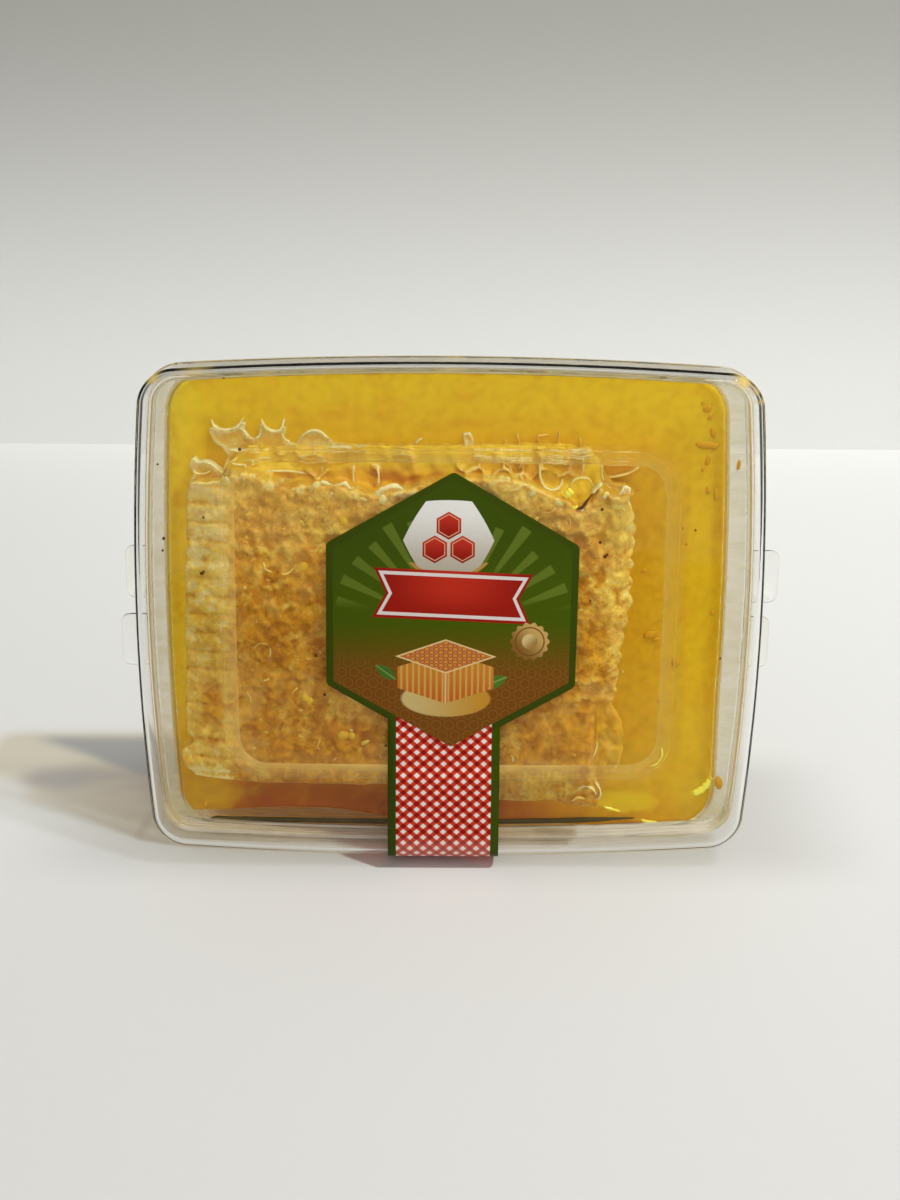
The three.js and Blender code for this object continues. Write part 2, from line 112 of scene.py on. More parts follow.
def flakes(x, z, size, s=0):
    """Nearest and second nearest of points scattered one to a square, and the nearest one's number."""
    u, v = np.asarray(x, float) / size, np.asarray(z, float) / size
    i0, j0 = np.floor(u), np.floor(v)
    best, second = np.full(u.shape, 9.0), np.full(u.shape, 9.0)
    num = np.zeros(u.shape)
    for a in (-1, 0, 1):
        for b in (-1, 0, 1):
            i, j = i0 + a, j0 + b
            d = np.hypot(i + _hash(i, j, s) - u, j + _hash(i, j, s + 7) - v)
            nearer = d < best
            second = np.where(nearer, best, np.minimum(second, d))
            num = np.where(nearer, _hash(i, j, s + 13), num)
            best = np.where(nearer, d, best)
    return best * size, second * size, num


def rnd(i, j, s):
    return float(_hash(np.array(float(i)), np.array(float(j)), s))


def sstep(a, b, x):
    t = np.clip((x - a) / (b - a), 0, 1)
    return t * t * (3 - 2 * t)


# ------------------------------------------------------------------ node graphs
class Sock:
    """A node output that can be used in sums."""

    def __init__(self, g, out):
        self.g, self.out = g, out

    def __add__(self, o):
        return self.g.math("ADD", self, o)

    __radd__ = __add__

    def __sub__(self, o):
        return self.g.math("SUBTRACT", self, o)

    def __rsub__(self, o):
        return self.g.math("SUBTRACT", o, self)

    def __mul__(self, o):
        return self.g.math("MULTIPLY", self, o)

    __rmul__ = __mul__

    def __truediv__(self, o):
        return self.g.math("DIVIDE", self, o)

    def __neg__(self):
        return self.g.math("MULTIPLY", self, -1.0)


class Graph:
    def __init__(self, name, slot_of=None):
        self.mat = bpy.data.materials.new(name)
        self.mat.use_nodes = True
        self.nt = self.mat.node_tree
        self.nt.nodes.clear()
        self.out = self.nt.nodes.new("ShaderNodeOutputMaterial")

    def node(self, kind, **props):
        n = self.nt.nodes.new(kind)
        for k, v in props.items():
            setattr(n, k, v)
        return n

    def put(self, socket, value):
        if isinstance(value, Sock):
            self.nt.links.new(value.out, socket)
        elif hasattr(value, "is_output"):
            self.nt.links.new(value, socket)
        elif isinstance(value, (tuple, list)) and len(value) == 3 and socket.type == "RGBA":
            socket.default_value = (*value, 1.0)
        else:
            socket.default_value = value

    def math(self, op, a, b=None, c=None, clamp=False):
        n = self.node("ShaderNodeMath", operation=op, use_clamp=clamp)
        for s, v in zip(n.inputs, (a, b, c)):
            if v is not None:
                self.put(s, v)
        return Sock(self, n.outputs[0])

    def mx(self, a, b):
        return self.math("MAXIMUM", a, b)

    def mn(self, a, b):
        return self.math("MINIMUM", a, b)

    def ab(self, a):
        return self.math("ABSOLUTE", a)

    def frac(self, a):
        return self.math("FRACT", a)

    def inside(self, d, soft=0.08):
        """1 where the distance d is below 0, with a thin soft edge."""
        return self.math("ADD", self.math("MULTIPLY", d, -1.0 / soft), 0.5, clamp=True)

    def ramp01(self, x, a, b):
        n = self.node("ShaderNodeMapRange", interpolation_type="SMOOTHSTEP")
        self.put(n.inputs["Value"], x)
        n.inputs["From Min"].default_value, n.inputs["From Max"].default_value = a, b
        return Sock(self, n.outputs["Result"])

    def mix(self, fac, a, b):
        n = self.node("ShaderNodeMix", data_type="RGBA")
        self.put(n.inputs[0], fac)
        self.put(n.inputs[6], a)
        self.put(n.inputs[7], b)
        return Sock(self, n.outputs[2])

    def mix_value(self, fac, a, b):
        n = self.node("ShaderNodeMix", data_type="FLOAT")
        self.put(n.inputs[0], fac)
        self.put(n.inputs[2], a)
        self.put(n.inputs[3], b)
        return Sock(self, n.outputs[0])

    def blend(self, mode, fac, a, b):
        n = self.node("ShaderNodeMix", data_type="RGBA", blend_type=mode)
        self.put(n.inputs[0], fac)
        self.put(n.inputs[6], a)
        self.put(n.inputs[7], b)
        return Sock(self, n.outputs[2])

    def attr(self, name):
        n = self.node("ShaderNodeAttribute", attribute_name=name)
        return Sock(self, n.outputs["Fac"])

    def attr_vec(self, name):
        n = self.node("ShaderNodeAttribute", attribute_name=name)
        return Sock(self, n.outputs["Vector"])

    def xyz(self, v):
        n = self.node("ShaderNodeSeparateXYZ")
        self.put(n.inputs[0], v)
        return [Sock(self, o) for o in n.outputs]

    def vec(self, x, y, z=0.0):
        n = self.node("ShaderNodeCombineXYZ")
        for s, v in zip(n.inputs, (x, y, z)):
            self.put(s, v)
        return Sock(self, n.outputs[0])

    def uv(self, name):
        n = self.node("ShaderNodeUVMap", uv_map=name)
        return self.xyz(Sock(self, n.outputs[0]))

    def object_mm(self):
        """Object coordinates in millimetres; the pieces stay at the origin."""
        n = self.node("ShaderNodeTexCoord")
        s = self.node("ShaderNodeVectorMath", operation="SCALE")
        self.nt.links.new(n.outputs["Object"], s.inputs[0])
        s.inputs["Scale"].default_value = 1000.0
        return Sock(self, s.outputs[0])

    def stretch(self, v, by):
        n = self.node("ShaderNodeVectorMath", operation="MULTIPLY")
        self.put(n.inputs[0], v)
        n.inputs[1].default_value = by
        return Sock(self, n.outputs[0])

    def noise(self, v, scale, detail=3.0, rough=0.55, distort=0.0):
        n = self.node("ShaderNodeTexNoise")
        self.put(n.inputs["Vector"], v)
        n.inputs["Scale"].default_value = scale
        n.inputs["Detail"].default_value = detail
        n.inputs["Roughness"].default_value = rough
        n.inputs["Distortion"].default_value = distort
        return Sock(self, n.outputs[0])

    def bump(self, height, strength, distance):
        n = self.node("ShaderNodeBump")
        self.put(n.inputs["Height"], height)
        n.inputs["Strength"].default_value = strength
        n.inputs["Distance"].default_value = distance
        return Sock(self, n.outputs[0])

    def principled(self, **v):
        n = self.node("ShaderNodeBsdfPrincipled")
        for k, x in v.items():
            self.put(n.inputs[k.replace("_", " ")], x)
        return n

    def shader_mix(self, fac, a, b):
        n = self.node("ShaderNodeMixShader")
        self.put(n.inputs[0], fac)
        self.nt.links.new(a, n.inputs[1])
        self.nt.links.new(b, n.inputs[2])
        return n.outputs[0]

    def lamp_ray(self):
        """1 for shadow rays and diffuse bounces, which go straight through clear plastic."""
        n = self.node("ShaderNodeLightPath")
        return self.math("MAXIMUM", Sock(self, n.outputs["Is Shadow Ray"]), Sock(self, n.outputs["Is Diffuse Ray"]))

    def lit_through(self, shader, colour):
        """The shader, with part of a lamp's light let through where it would cast a shadow."""
        n = self.node("ShaderNodeLightPath")
        t = self.node("ShaderNodeBsdfTransparent")
        self.put(t.inputs["Color"], colour)
        return self.shader_mix(Sock(self, n.outputs["Is Shadow Ray"]), shader, t.outputs[0])

    def surface(self, shader):
        self.nt.links.new(shader, self.out.inputs["Surface"])
        return self.mat


def clear_plastic(name, tint, shade, haze_and_painted_light):
    """Moulded clear plastic: glass, with slow waves from the mould and fine handling marks."""
    g = Graph(name)
    p = g.object_mm()
    waves = g.noise(p, 0.045, 2.0, 0.5)
    fine = g.noise(g.stretch(p, (1.0, 1.0, 0.35)), 0.9, 3.0, 0.6)
    ripple = g.noise(g.stretch(p, (0.22, 0.6, 1.5)), 0.9, 2.0, 0.5, 0.6)
    height = waves * 1.0 + fine * 0.03 + g.attr("ripple") * ripple
    bump = g.bump(height, 0.35, 0.0006)
    rough = g.ramp01(g.noise(p, 0.2, 4.0, 0.7), 0.55, 0.9) * 0.035
    fres = g.node("ShaderNodeFresnel")
    fres.inputs["IOR"].default_value = 1.5
    g.put(fres.inputs["Normal"], bump)
    share = g.math("POWER", Sock(g, fres.outputs[0]), 1.5)
    refr = g.node("ShaderNodeBsdfRefraction")
    refr.inputs["IOR"].default_value = 1.5
    g.put(refr.inputs["Color"], tint)
    g.put(refr.inputs["Roughness"], 0.0)
    g.put(refr.inputs["Normal"], bump)
    gloss = g.node("ShaderNodeBsdfGlossy")
    g.put(gloss.inputs["Color"], (1.0, 1.0, 1.0))
    g.put(gloss.inputs["Roughness"], rough)
    g.put(gloss.inputs["Normal"], bump)
    glass = g.shader_mix(share, refr.outputs[0], gloss.outputs[0])
    # stretched and thick parts are a little whitened, in streaks along them. This whitening also carries painted
    # light: it turns whiter near the table, breaks into thin bright lines low down, and takes the painted highlights
    # and brightening that the lid and tray set on their vertices
    streak = g.noise(g.stretch(p, (0.10, 0.4, 0.35)), 1.2, 2.0, 0.5)
    haze, glow = g.node("ShaderNodeBsdfDiffuse"), g.node("ShaderNodeBsdfTranslucent")
    height_mm = g.xyz(p)[2]
    # painted light: the haze turns whiter near the table
    tone = g.mix(g.ramp01(height_mm, 7.4, 5.6), haze_and_painted_light, (0.99, 0.94, 0.84))
    tone = g.mix(g.attr("amber"), tone, (1.0, 0.60, 0.10))
    g.put(haze.inputs["Color"], tone)
    g.put(glow.inputs["Color"], tone)
    # painted highlights: low down the haze breaks into thin bright lines along the flange
    lines = g.ramp01(g.noise(g.stretch(p, (0.012, 1.3, 1.3)), 0.8, 1.0), 0.40, 0.60)
    veil = g.attr("haze_and_painted_light") * (g.ramp01(streak, 0.30, 0.70) * 0.25 + 0.75) * (1.0 - g.ramp01(height_mm, 9.0, 6.0) * (1.0 - lines) * 0.55)
    glass = g.shader_mix(veil, glass, g.shader_mix(0.4, haze.outputs[0], glow.outputs[0]))
    through = g.node("ShaderNodeBsdfTransparent")
    g.put(through.inputs["Color"], g.mix(g.attr("haze_and_painted_light"), shade, (0.91, 0.89, 0.85)))
    return g.surface(g.shader_mix(g.lamp_ray(), glass, through.outputs[0]))


# ------------------------------------------------------------------ meshes
def make(name, verts, faces, mats, smooth=True, uv=None, attrs=None, mat_index=None, world=False):
    me = bpy.data.meshes.new(name)
    v = np.asarray(verts, float)
    me.from_pydata((v if world else W(v)).tolist(), [], [tuple(int(i) for i in f) for f in faces])
    for m in mats:
        me.materials.append(m)
    if mat_index is not None:
        me.polygons.foreach_set("material_index", np.asarray(mat_index, np.int32))
    if smooth:
        me.polygons.foreach_set("use_smooth", [True] * len(me.polygons))
    if uv is not None:
        layer = me.uv_layers.new(name="mm")
        loops = np.zeros(len(me.loops), np.int32)
        me.loops.foreach_get("vertex_index", loops)
        layer.data.foreach_set("uv", np.asarray(uv, float)[loops].ravel())
    for k, a in (attrs or {}).items():
        at = me.attributes.new(k, "FLOAT", "POINT")
        at.data.foreach_set("value", np.asarray(a, np.float32))
    me.update()
    me.validate()
    ob = bpy.data.objects.new(name, me)
    bpy.context.scene.collection.objects.link(ob)
    return ob


def outward(ob):
    bm = bmesh.new()
    bm.from_mesh(ob.data)
    bmesh.ops.recalc_face_normals(bm, faces=bm.faces)
    vol = bm.calc_volume(signed=True)
    if vol < 0:
        bmesh.ops.reverse_faces(bm, faces=bm.faces)
    bm.to_mesh(ob.data)
    bm.free()
    return ob


def join_parts(parts):
    """Several (verts, faces) as one."""
    V, F, n = [], [], 0
    for v, f in parts:
        V.append(np.asarray(v, float))
        F += [tuple(i + n for i in face) for face in f]
        n += len(v)
    return np.concatenate(V), F


CS, SS = ((14, 26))


def outline(hw, hh, r, bow_w, bow_h, zc=0.0, cs=None, ss=None):
    """Rounded rectangle whose sides bow outwards, counter-clockwise in X, Z."""
    cs, ss = cs or CS, ss or SS
    a, b, raw = hw - bow_w, hh - bow_h, []
    centres = [(a - r, b - r, 0), (-(a - r), b - r, 1), (-(a - r), -(b - r), 2), (a - r, -(b - r), 3)]
    for k, (cx, cz, q) in enumerate(centres):
        for i in range(cs + 1):
            t = (q + i / cs) * math.pi / 2
            raw.append((cx + r * math.cos(t), cz + r * math.sin(t)))
        nx, nz, _ = centres[(k + 1) % 4]
        t = (q + 1) * math.pi / 2
        p0 = (cx + r * math.cos(t), cz + r * math.sin(t))
        p1 = (nx + r * math.cos(t), nz + r * math.sin(t))
        for i in range(1, ss):
            u = i / ss
            raw.append((p0[0] + (p1[0] - p0[0]) * u, p0[1] + (p1[1] - p0[1]) * u))
    p = np.array(raw)
    x = p[:, 0] * (1 + bow_w / a * (1 - (p[:, 1] / b) ** 2))
    z = p[:, 1] * (1 + bow_h / b * (1 - (p[:, 0] / a) ** 2)) + zc
    return np.stack([x, z], -1)


def fillet(pts, radii, steps=6, keep=0.12):
    """Rounds the corners of an open path of (grow, y), with a support point beside each arc."""
    out = [pts[0]]
    for i in range(1, len(pts) - 1):
        p, a, b, r = np.array(pts[i], float), np.array(pts[i - 1], float), np.array(pts[i + 1], float), radii[i]
        if not r:
            out.append(tuple(p))
            continue
        ua, ub = a - p, b - p
        la, lb = np.linalg.norm(ua), np.linalg.norm(ub)
        ua, ub = ua / la, ub / lb
        half = math.acos(max(-1, min(1, float(ua @ ub)))) / 2
        cut = min(r / math.tan(half), la * 0.45, lb * 0.45)
        r = cut * math.tan(half)
        mid = (ua + ub) / np.linalg.norm(ua + ub)
        c = p + mid * (r / math.sin(half))
        s, e = p + ua * cut, p + ub * cut
        if la - cut > 3 * keep:
            out.append(tuple(s + ua * keep))
        a0 = math.atan2(*(s - c)[::-1])
        a1 = math.atan2(*(e - c)[::-1])
        d = (a1 - a0 + math.pi) % (2 * math.pi) - math.pi
        for k in range(steps + 1):
            t = a0 + d * k / steps
            out.append((c[0] + r * math.cos(t), c[1] + r * math.sin(t)))
        if lb - cut > 3 * keep:
            out.append(tuple(e + ub * keep))
    out.append(pts[-1])
    return out


def loft(rings, caps=(True, True), closed=False):
    """rings: list of (y, outline points). Returns verts and faces."""
    n = len(rings[0][1])
    V = np.concatenate([np.stack([p[:, 0], np.full(n, y) if np.ndim(y) == 0 else y, p[:, 1]], -1) for y, p in rings])
    F, m = [], len(rings)
    for k in range(m if closed else m - 1):
        k2 = (k + 1) % m
        for i in range(n):
            j = (i + 1) % n
            F.append((k * n + i, k * n + j, k2 * n + j, k2 * n + i))
    if not closed and caps[0]:
        F.append(tuple(range(n))[::-1])
    if not closed and caps[1]:
        F.append(tuple(range((m - 1) * n, m * n)))
    return V, F


def lid_outline(g):
    return outline(HALF_W + g, HALF_H + g, CORNER_R + g, BOW_W, BOW_H)


def panel_outline(g):
    return outline(PANEL_HW + g, PANEL_HH + g, max(PANEL_R + g, 1.0), 0.35, 0.35, PANEL_Z)


def tray_outline(g):
    p = outline(TRAY_HW + g, TRAY_HH + g, TRAY_R + g, TRAY_BOW, TRAY_BOW)
    p[:, 0] -= 1.5 * sstep(0.0, 60.0, p[:, 0]) * sstep(-62.0, -20.0, p[:, 1])  # the right-hand wall stands in a little
    return p


def plate_from(path, y0, y1, soft=0.35):
    """Flat plate with softened edges from an outline in X, Z (counter-clockwise)."""
    p = np.array(path, float)
    nxt, prv = np.roll(p, -1, 0), np.roll(p, 1, 0)
    t = nxt - prv
    t /= np.linalg.norm(t, axis=1)[:, None]
    nrm = np.stack([t[:, 1], -t[:, 0]], -1)
    rings = []
    for g, y in ((-soft, y0), (-soft * 0.3, y0 + soft * 0.3), (0, y0 + soft), (0, y1 - soft), (-soft * 0.3, y1 - soft * 0.3), (-soft, y1)):
        rings.append((y, p + nrm * g))
    return loft(rings)


def tab_path(s, root, tip, z0, z1, r):
    pts = [(root, z0)]
    for i in range(9):
        t = i / 8 * math.pi / 2
        pts.append((tip - s * r + s * r * math.sin(t), z0 + r - r * math.cos(t)))
    for i in range(9):
        t = i / 8 * math.pi / 2
        pts.append((tip - s * r + s * r * math.cos(t), z1 - r + r * math.sin(t)))
    pts.append((root, z1))
    return pts if s > 0 else pts[::-1]


# the camera of the photograph, in pack millimetres
CAM_P = np.array([-3.5, -353.3, 88.0])
_al, _ps, _ro = math.radians(13.2), math.radians(0.57), math.radians(0.51)
CAM_F = np.array([math.sin(_ps) * math.cos(_al), math.cos(_ps) * math.cos(_al), -math.sin(_al)])
_r0 = np.array([math.cos(_ps), -math.sin(_ps), 0.0])
_u0 = np.cross(_r0, CAM_F)
CAM_R = _r0 * math.cos(_ro) + _u0 * math.sin(_ro)
CAM_U = -_r0 * math.sin(_ro) + _u0 * math.cos(_ro)


def at(px, py, y):
    """X, Z in the plane y that shows at a pixel of the 900 x 1200 picture."""
    d = CAM_F + CAM_R * ((px - 450) / 1500.0) - CAM_U * ((py - 600) / 1500.0)
    p = CAM_P + d * ((y - CAM_P[1]) / d[1])
    return float(p[0]), float(p[2])


def make_lid(mat):
    t, fs = LID_WALL, 8
    rings, slope = [], []

    def slope_haze_and_highlight(g):
        """Share of haze round one ring of the slope: strongest below, with a line at either edge. The lines and the
        band below are partly haze and partly painted highlights along the slope's rounded edges.
        """
        q = panel_outline(g)
        mid = math.exp(-((g - 0.8) / 1.0) ** 2)
        line = math.exp(-((g - 0.1) / 0.20) ** 2) + 0.8 * math.exp(-((g - 3.0) / 0.20) ** 2)
        low = sstep(-30, -37, q[:, 1])
        top = sstep(30, 37, q[:, 1])
        left = sstep(-30, -48, q[:, 0]) * top
        west = sstep(-45, -52, q[:, 0]) * (1 - low) * (1 - top)
        east = sstep(45, 52, q[:, 0]) * (1 - low) * (1 - top)
        return (mid * 0.24 * low * sstep(37, 30, q[:, 0]) + line * (0.30 * low + 0.26 * top + 0.20 + 0.34 * west + 0.22 * east)) * (1 - 0.6 * left)

    for g, y in fillet([(-4, PANEL_DEEP), (0, PANEL_DEEP), (PANEL_SLOPE, 0), (5.5, 0)], [0, 0.5, 0.5, 0], fs):
        rings.append((y, panel_outline(g)))
        slope.append(slope_haze_and_highlight(g))
    R, base = FACE_R, -LID_DRAFT - FACE_R
    rings.append((0.0, lid_outline(base - 0.25)))
    for i in range(11):
        a = i / 10 * math.pi / 2
        rings.append((R - R * math.cos(a), lid_outline(base + R * math.sin(a))))
    for g, y in fillet(
        [(-LID_DRAFT, R + 0.2), (-0.03, LID_FLANGE_Y - 0.5), (LIP, LID_FLANGE_Y + 0.25), (LIP, LID_BACK_Y), (-t, LID_BACK_Y), (-t, LID_BACK_Y - 0.8)],
        [0, 0.4, 0.3, 0.3, 0.4, 0], 4, 0.06,
    ):
        rings.append((y, lid_outline(g)))
    ri = R - t
    for i in range(9):
        a = (8 - i) / 8 * math.pi / 2
        rings.append((t + ri - ri * math.cos(a), lid_outline(-LID_DRAFT - t - ri + ri * math.sin(a))))
    rings.append((t, lid_outline(-LID_DRAFT - t - ri - 0.25)))
    for g, y in fillet([(5.9, t), (PANEL_SLOPE + 0.4, t), (0.4, PANEL_DEEP + t), (-4, PANEL_DEEP + t)], [0, 1.1, 2.2, 0], fs):
        rings.append((y, panel_outline(g)))
    V, F = loft(rings)
    n0 = len(rings[0][1])
    lid_haze_and_light = np.zeros(len(V))
    lid_haze_and_light[: n0 * len(slope)] = np.concatenate(slope)
    # the lower side is thick and a little cloudy; this haze is also painted light, brightening the lower side where
    # light comes through the clear plastic near the table
    lid_haze_and_light = np.maximum(lid_haze_and_light, 0.62 * sstep(-60.0, -62.0, V[:, 2]) * sstep(2.0, 4.0, V[:, 1]))
    # painted highlights: white spots in the upper corners that stand for glints of the lamp
    for px, py, r, k in ((744, 383, 1.5, 0.85), (757, 392, 0.8, 0.7), (764, 402, 0.7, 0.7), (148, 377, 1.6, 0.8), (186, 374, 1.3, 0.6), (198, 374, 1.3, 0.6), (771, 425, 0.6, 0.5)):
        mx_, mz_ = at(px, py, 1.5)
        lid_haze_and_light = np.maximum(lid_haze_and_light, k * np.exp(-(((V[:, 0] - mx_) / r) ** 2) - ((V[:, 2] - mz_) / (0.7 * r)) ** 2) * (V[:, 1] < 4))
    parts = [(V, F)]
    for s in (1, -1):
        z0 = TAB_Z if s > 0 else -TAB_Z - TAB_LEN
        path = tab_path(s, s * (HALF_W - 0.1), s * (HALF_W + LID_TAB_OUT), z0, z0 + TAB_LEN, 2.2)
        parts.append(plate_from(path, LID_FLANGE_Y + 0.25, LID_BACK_Y, 0.3))
    V, F = join_parts(parts)
    lid_haze_and_light = np.concatenate([lid_haze_and_light, np.zeros(len(V) - len(lid_haze_and_light))])
    # the slope above is drawn unevenly, which breaks up what shows through it
    px_, pz_ = np.abs(V[:, 0]), V[:, 2] - PANEL_Z
    wavy = sstep(PANEL_HH - 0.6, PANEL_HH + 0.4, pz_) * sstep(PANEL_HH + 4.4, PANEL_HH + 3.2, pz_) * sstep(51.0, 46.0, px_)
    wavy = wavy * (V[:, 1] < PANEL_DEEP + 0.1)
    return outward(make("lid_shell", V, F, [mat], attrs={"haze_and_painted_light": lid_haze_and_light, "ripple": 0.7 * wavy, "amber": np.zeros(len(V))}))


def make_tray(mat):
    d = PLUG_OUT - HALF_W
    rings, haze_and_painted_light, amber = [], [], []

    def ring(y, q, base, low, honeyed=0.0):
        """One ring, with its share of haze at the sides and along the bottom, where the haze is also painted light,
        and an amber tint low down in the cavity.
        """
        rings.append((y, q))
        haze_and_painted_light.append(base + (low - base) * sstep(-48, -56, q[:, 1]))
        amber.append(honeyed * sstep(-50, -54, q[:, 1]) * sstep(66, 58, np.abs(q[:, 0])))

    for g, y in fillet(
        [(-6, TRAY_BACK_Y - TRAY_WALL), (-TRAY_DRAFT - 0.1, TRAY_BACK_Y - TRAY_WALL), (0, RIM_Y), (1.2, RIM_Y)],
        [0, 1.0, 0.8, 0], 6,
    ):
        ring(y, tray_outline(g), 0.74 if g > 0.6 else 0.0, 0.88, 0.0 if g > 0.6 else 1.0)
    for g, y in fillet(
        [(d - PLUG_WALL - 0.9, RIM_Y), (d - PLUG_WALL, RIM_Y), (d - PLUG_WALL, PLUG_Y), (d, PLUG_Y), (d, RIM_Y), (LIP, RIM_Y), (LIP, RIM_BACK_Y), (-2.0, RIM_BACK_Y)],
        [0, 0.7, 0.5, 0.5, 0.4, 0.3, 0.3, 0], 5, 0.08,
    ):
        ring(y, lid_outline(g), 0.74 if abs(y - RIM_Y) < 0.02 and g < d else 0.22, 0.85)
    for g, y in fillet(
        [(TRAY_WALL + 1.6, RIM_BACK_Y), (TRAY_WALL, RIM_BACK_Y), (TRAY_WALL - TRAY_DRAFT, TRAY_BACK_Y), (-6, TRAY_BACK_Y)],
        [0, 0.7, TRAY_EDGE_R, 0], 6,
    ):
        ring(y, tray_outline(g), 0.0, 0.7 if y < 33 else 0.0)
    parts = [loft(rings)]
    for s in (1, -1):
        z0 = -TAB_Z - TAB_LEN if s > 0 else TAB_Z
        path = tab_path(s, s * (HALF_W - 0.1), s * (HALF_W + TRAY_TAB_OUT), z0, z0 + TAB_LEN, 2.2)
        parts.append(plate_from(path, RIM_Y, RIM_BACK_Y, 0.3))
    V, F = join_parts(parts)
    haze_and_painted_light, amber = np.concatenate(haze_and_painted_light), np.concatenate(amber)
    rest = np.zeros(len(V) - len(haze_and_painted_light))
    return outward(make("tray_shell", V, F, [mat], attrs={"haze_and_painted_light": np.concatenate([haze_and_painted_light, rest]), "ripple": np.zeros(len(V)), "amber": np.concatenate([amber, rest])}))


# ------------------------------------------------------------------ comb
def spots(points):
    """Picture points (x, y, depth) as X, Z in millimetres."""
    return np.array([at(*q) for q in points])


def poly_field(x, z, P):
    """Distance to a closed outline, positive inside it."""
    a, b = P, np.roll(P, -1, 0)
    best = np.full(np.shape(x), 1e9)
    inside = np.zeros(np.shape(x), bool)
    for (ax, az), (bx, bz) in zip(a, b):
        dx, dz = bx - ax, bz - az
        t = np.clip(((x - ax) * dx + (z - az) * dz) / (dx * dx + dz * dz + 1e-12), 0, 1)
        best = np.minimum(best, np.hypot(x - ax - t * dx, z - az - t * dz))
        cross = (az > z) != (bz > z)
        inside ^= cross & (x < ax + dx * (z - az) / (dz if abs(dz) > 1e-9 else 1e-9))
    return np.where(inside, best, -best)


COMB_EDGE = [
    (190, 482, 6.2), (188, 492, 6.4), (186.5, 525, 6.4), (187.5, 545, 6.4), (186, 560, 6.4), (186, 600, 6.4), (184.5, 617, 6.4),
    (186, 640, 6.4), (186.5, 665, 6.4), (185.5, 700, 6.4), (186.5, 722, 6.4), (188, 733, 6.4), (197, 741, 6.4), (188, 746, 7),
    (181, 751, 7), (183, 759, 7), (188, 768, 7), (195, 775, 7), (215, 777, 6), (236, 778, 5.5), (262, 781, 5.4), (320, 782, 5.4),
    (388, 783, 5.4), (440, 790, 6), (470, 797, 6), (502, 799, 6), (525, 801, 6), (552, 799, 6), (572, 805, 6), (595, 805, 6.5),
    (598, 792, 7), (597, 778, 8), (612, 770, 12), (620, 755, 12), (622, 735, 12), (620, 715, 12), (612, 705, 12), (608, 695, 12),
    (614, 682, 10), (617, 655, 8), (621, 635, 8), (625, 615, 8), (630, 600, 8), (631, 575, 8), (631, 555, 8), (634, 535, 8),
    (633, 517, 8), (626, 503, 8), (631, 492, 8), (627, 485, 8), (614, 482, 9), (605, 474, 10), (601, 461, 11), (592, 450, 11),
    (560, 447, 11), (520, 446, 11), (480, 447, 11), (430, 448, 11), (380, 447, 11), (345, 447, 11), (320, 449, 11), (285, 449, 11),
    (250, 448, 11), (238, 455, 11), (231, 464, 11), (233, 474, 9), (222, 479, 8), (207, 481, 7), (198, 480, 6.4),
]
PITCH_Z = CELL * math.sqrt(3) / 2
ROW_Z = at(630, 600, 8.0)[1]
TORN_Z = float(W((0.0, 8.6, at(400, 466, 8.6)[1]))[2]) * 1000.0  # height in mm above which the torn cells are pale
RIDGE = [
    (180, 484), (190, 482), (207, 478), (230, 475), (250, 473), (265, 480), (285, 487), (310, 485), (340, 486), (358, 491), (372, 497),
    (390, 492), (410, 488), (450, 480), (480, 480), (500, 478), (520, 481), (540, 491), (552, 497), (566, 500), (578, 509), (592, 503),
    (600, 489), (612, 497), (622, 500), (640, 492),
]


def comb_bottom(x):
    return -45.6 - 5.0 * sstep(-18, 4, x)


def comb_cells():
    cells = []
    for j in range(-15, 15):
        for i in range(-16, 16):
            x = (i + (0.5 if j % 2 else 0.0)) * CELL - 9
            z = j * PITCH_Z - 4
            cells.append((x + (rnd(i, j, 1) - 0.5) * 1.2, z + (rnd(i, j, 2) - 0.5) * 1.2, i, j))
    return cells


def two_nearest(P, C):
    """Distances to, and index of, the two nearest centres."""
    d1, d2, k1 = np.empty(len(P)), np.empty(len(P)), np.empty(len(P), int)
    for s in range(0, len(P), 4000):
        q = P[s : s + 4000]
        d = np.hypot(q[:, None, 0] - C[None, :, 0], q[:, None, 1] - C[None, :, 1])
        k = np.argpartition(d, 1, axis=1)[:, :2]
        dd = np.take_along_axis(d, k, 1)
        o = np.argsort(dd, axis=1)
        dd, k = np.take_along_axis(dd, o, 1), np.take_along_axis(k, o, 1)
        d1[s : s + 4000], d2[s : s + 4000], k1[s : s + 4000] = dd[:, 0], dd[:, 1], k[:, 0]
    return d1, d2, k1


def ridge_line(x):
    """Height of the torn ridge that ends the pressed face above."""
    q = spots([(*r, 3.5) for r in RIDGE])
    return np.interp(x, q[:, 0], q[:, 1])


def comb_base(x, z):
    """Depth of the cut face without its cells: pressed on the window, falling back at the edges."""
    left = 3.0 * np.clip((-53.5 - x) / 11, 0, 1) ** 1.2
    right = 5.0 * np.clip((x - 39.5) / 7, 0, 1) ** 1.6
    low = 2.6 * np.clip((-38.5 - z) / 9, 0, 1) ** 1.2
    lobe = 6.0 * sstep(35.6, 38.0, x + 0.0 * z) * sstep(-20.5, -23.5, z) * sstep(-46.5, -43.0, z)
    return 3.1 + left + np.maximum(right, lobe) + low


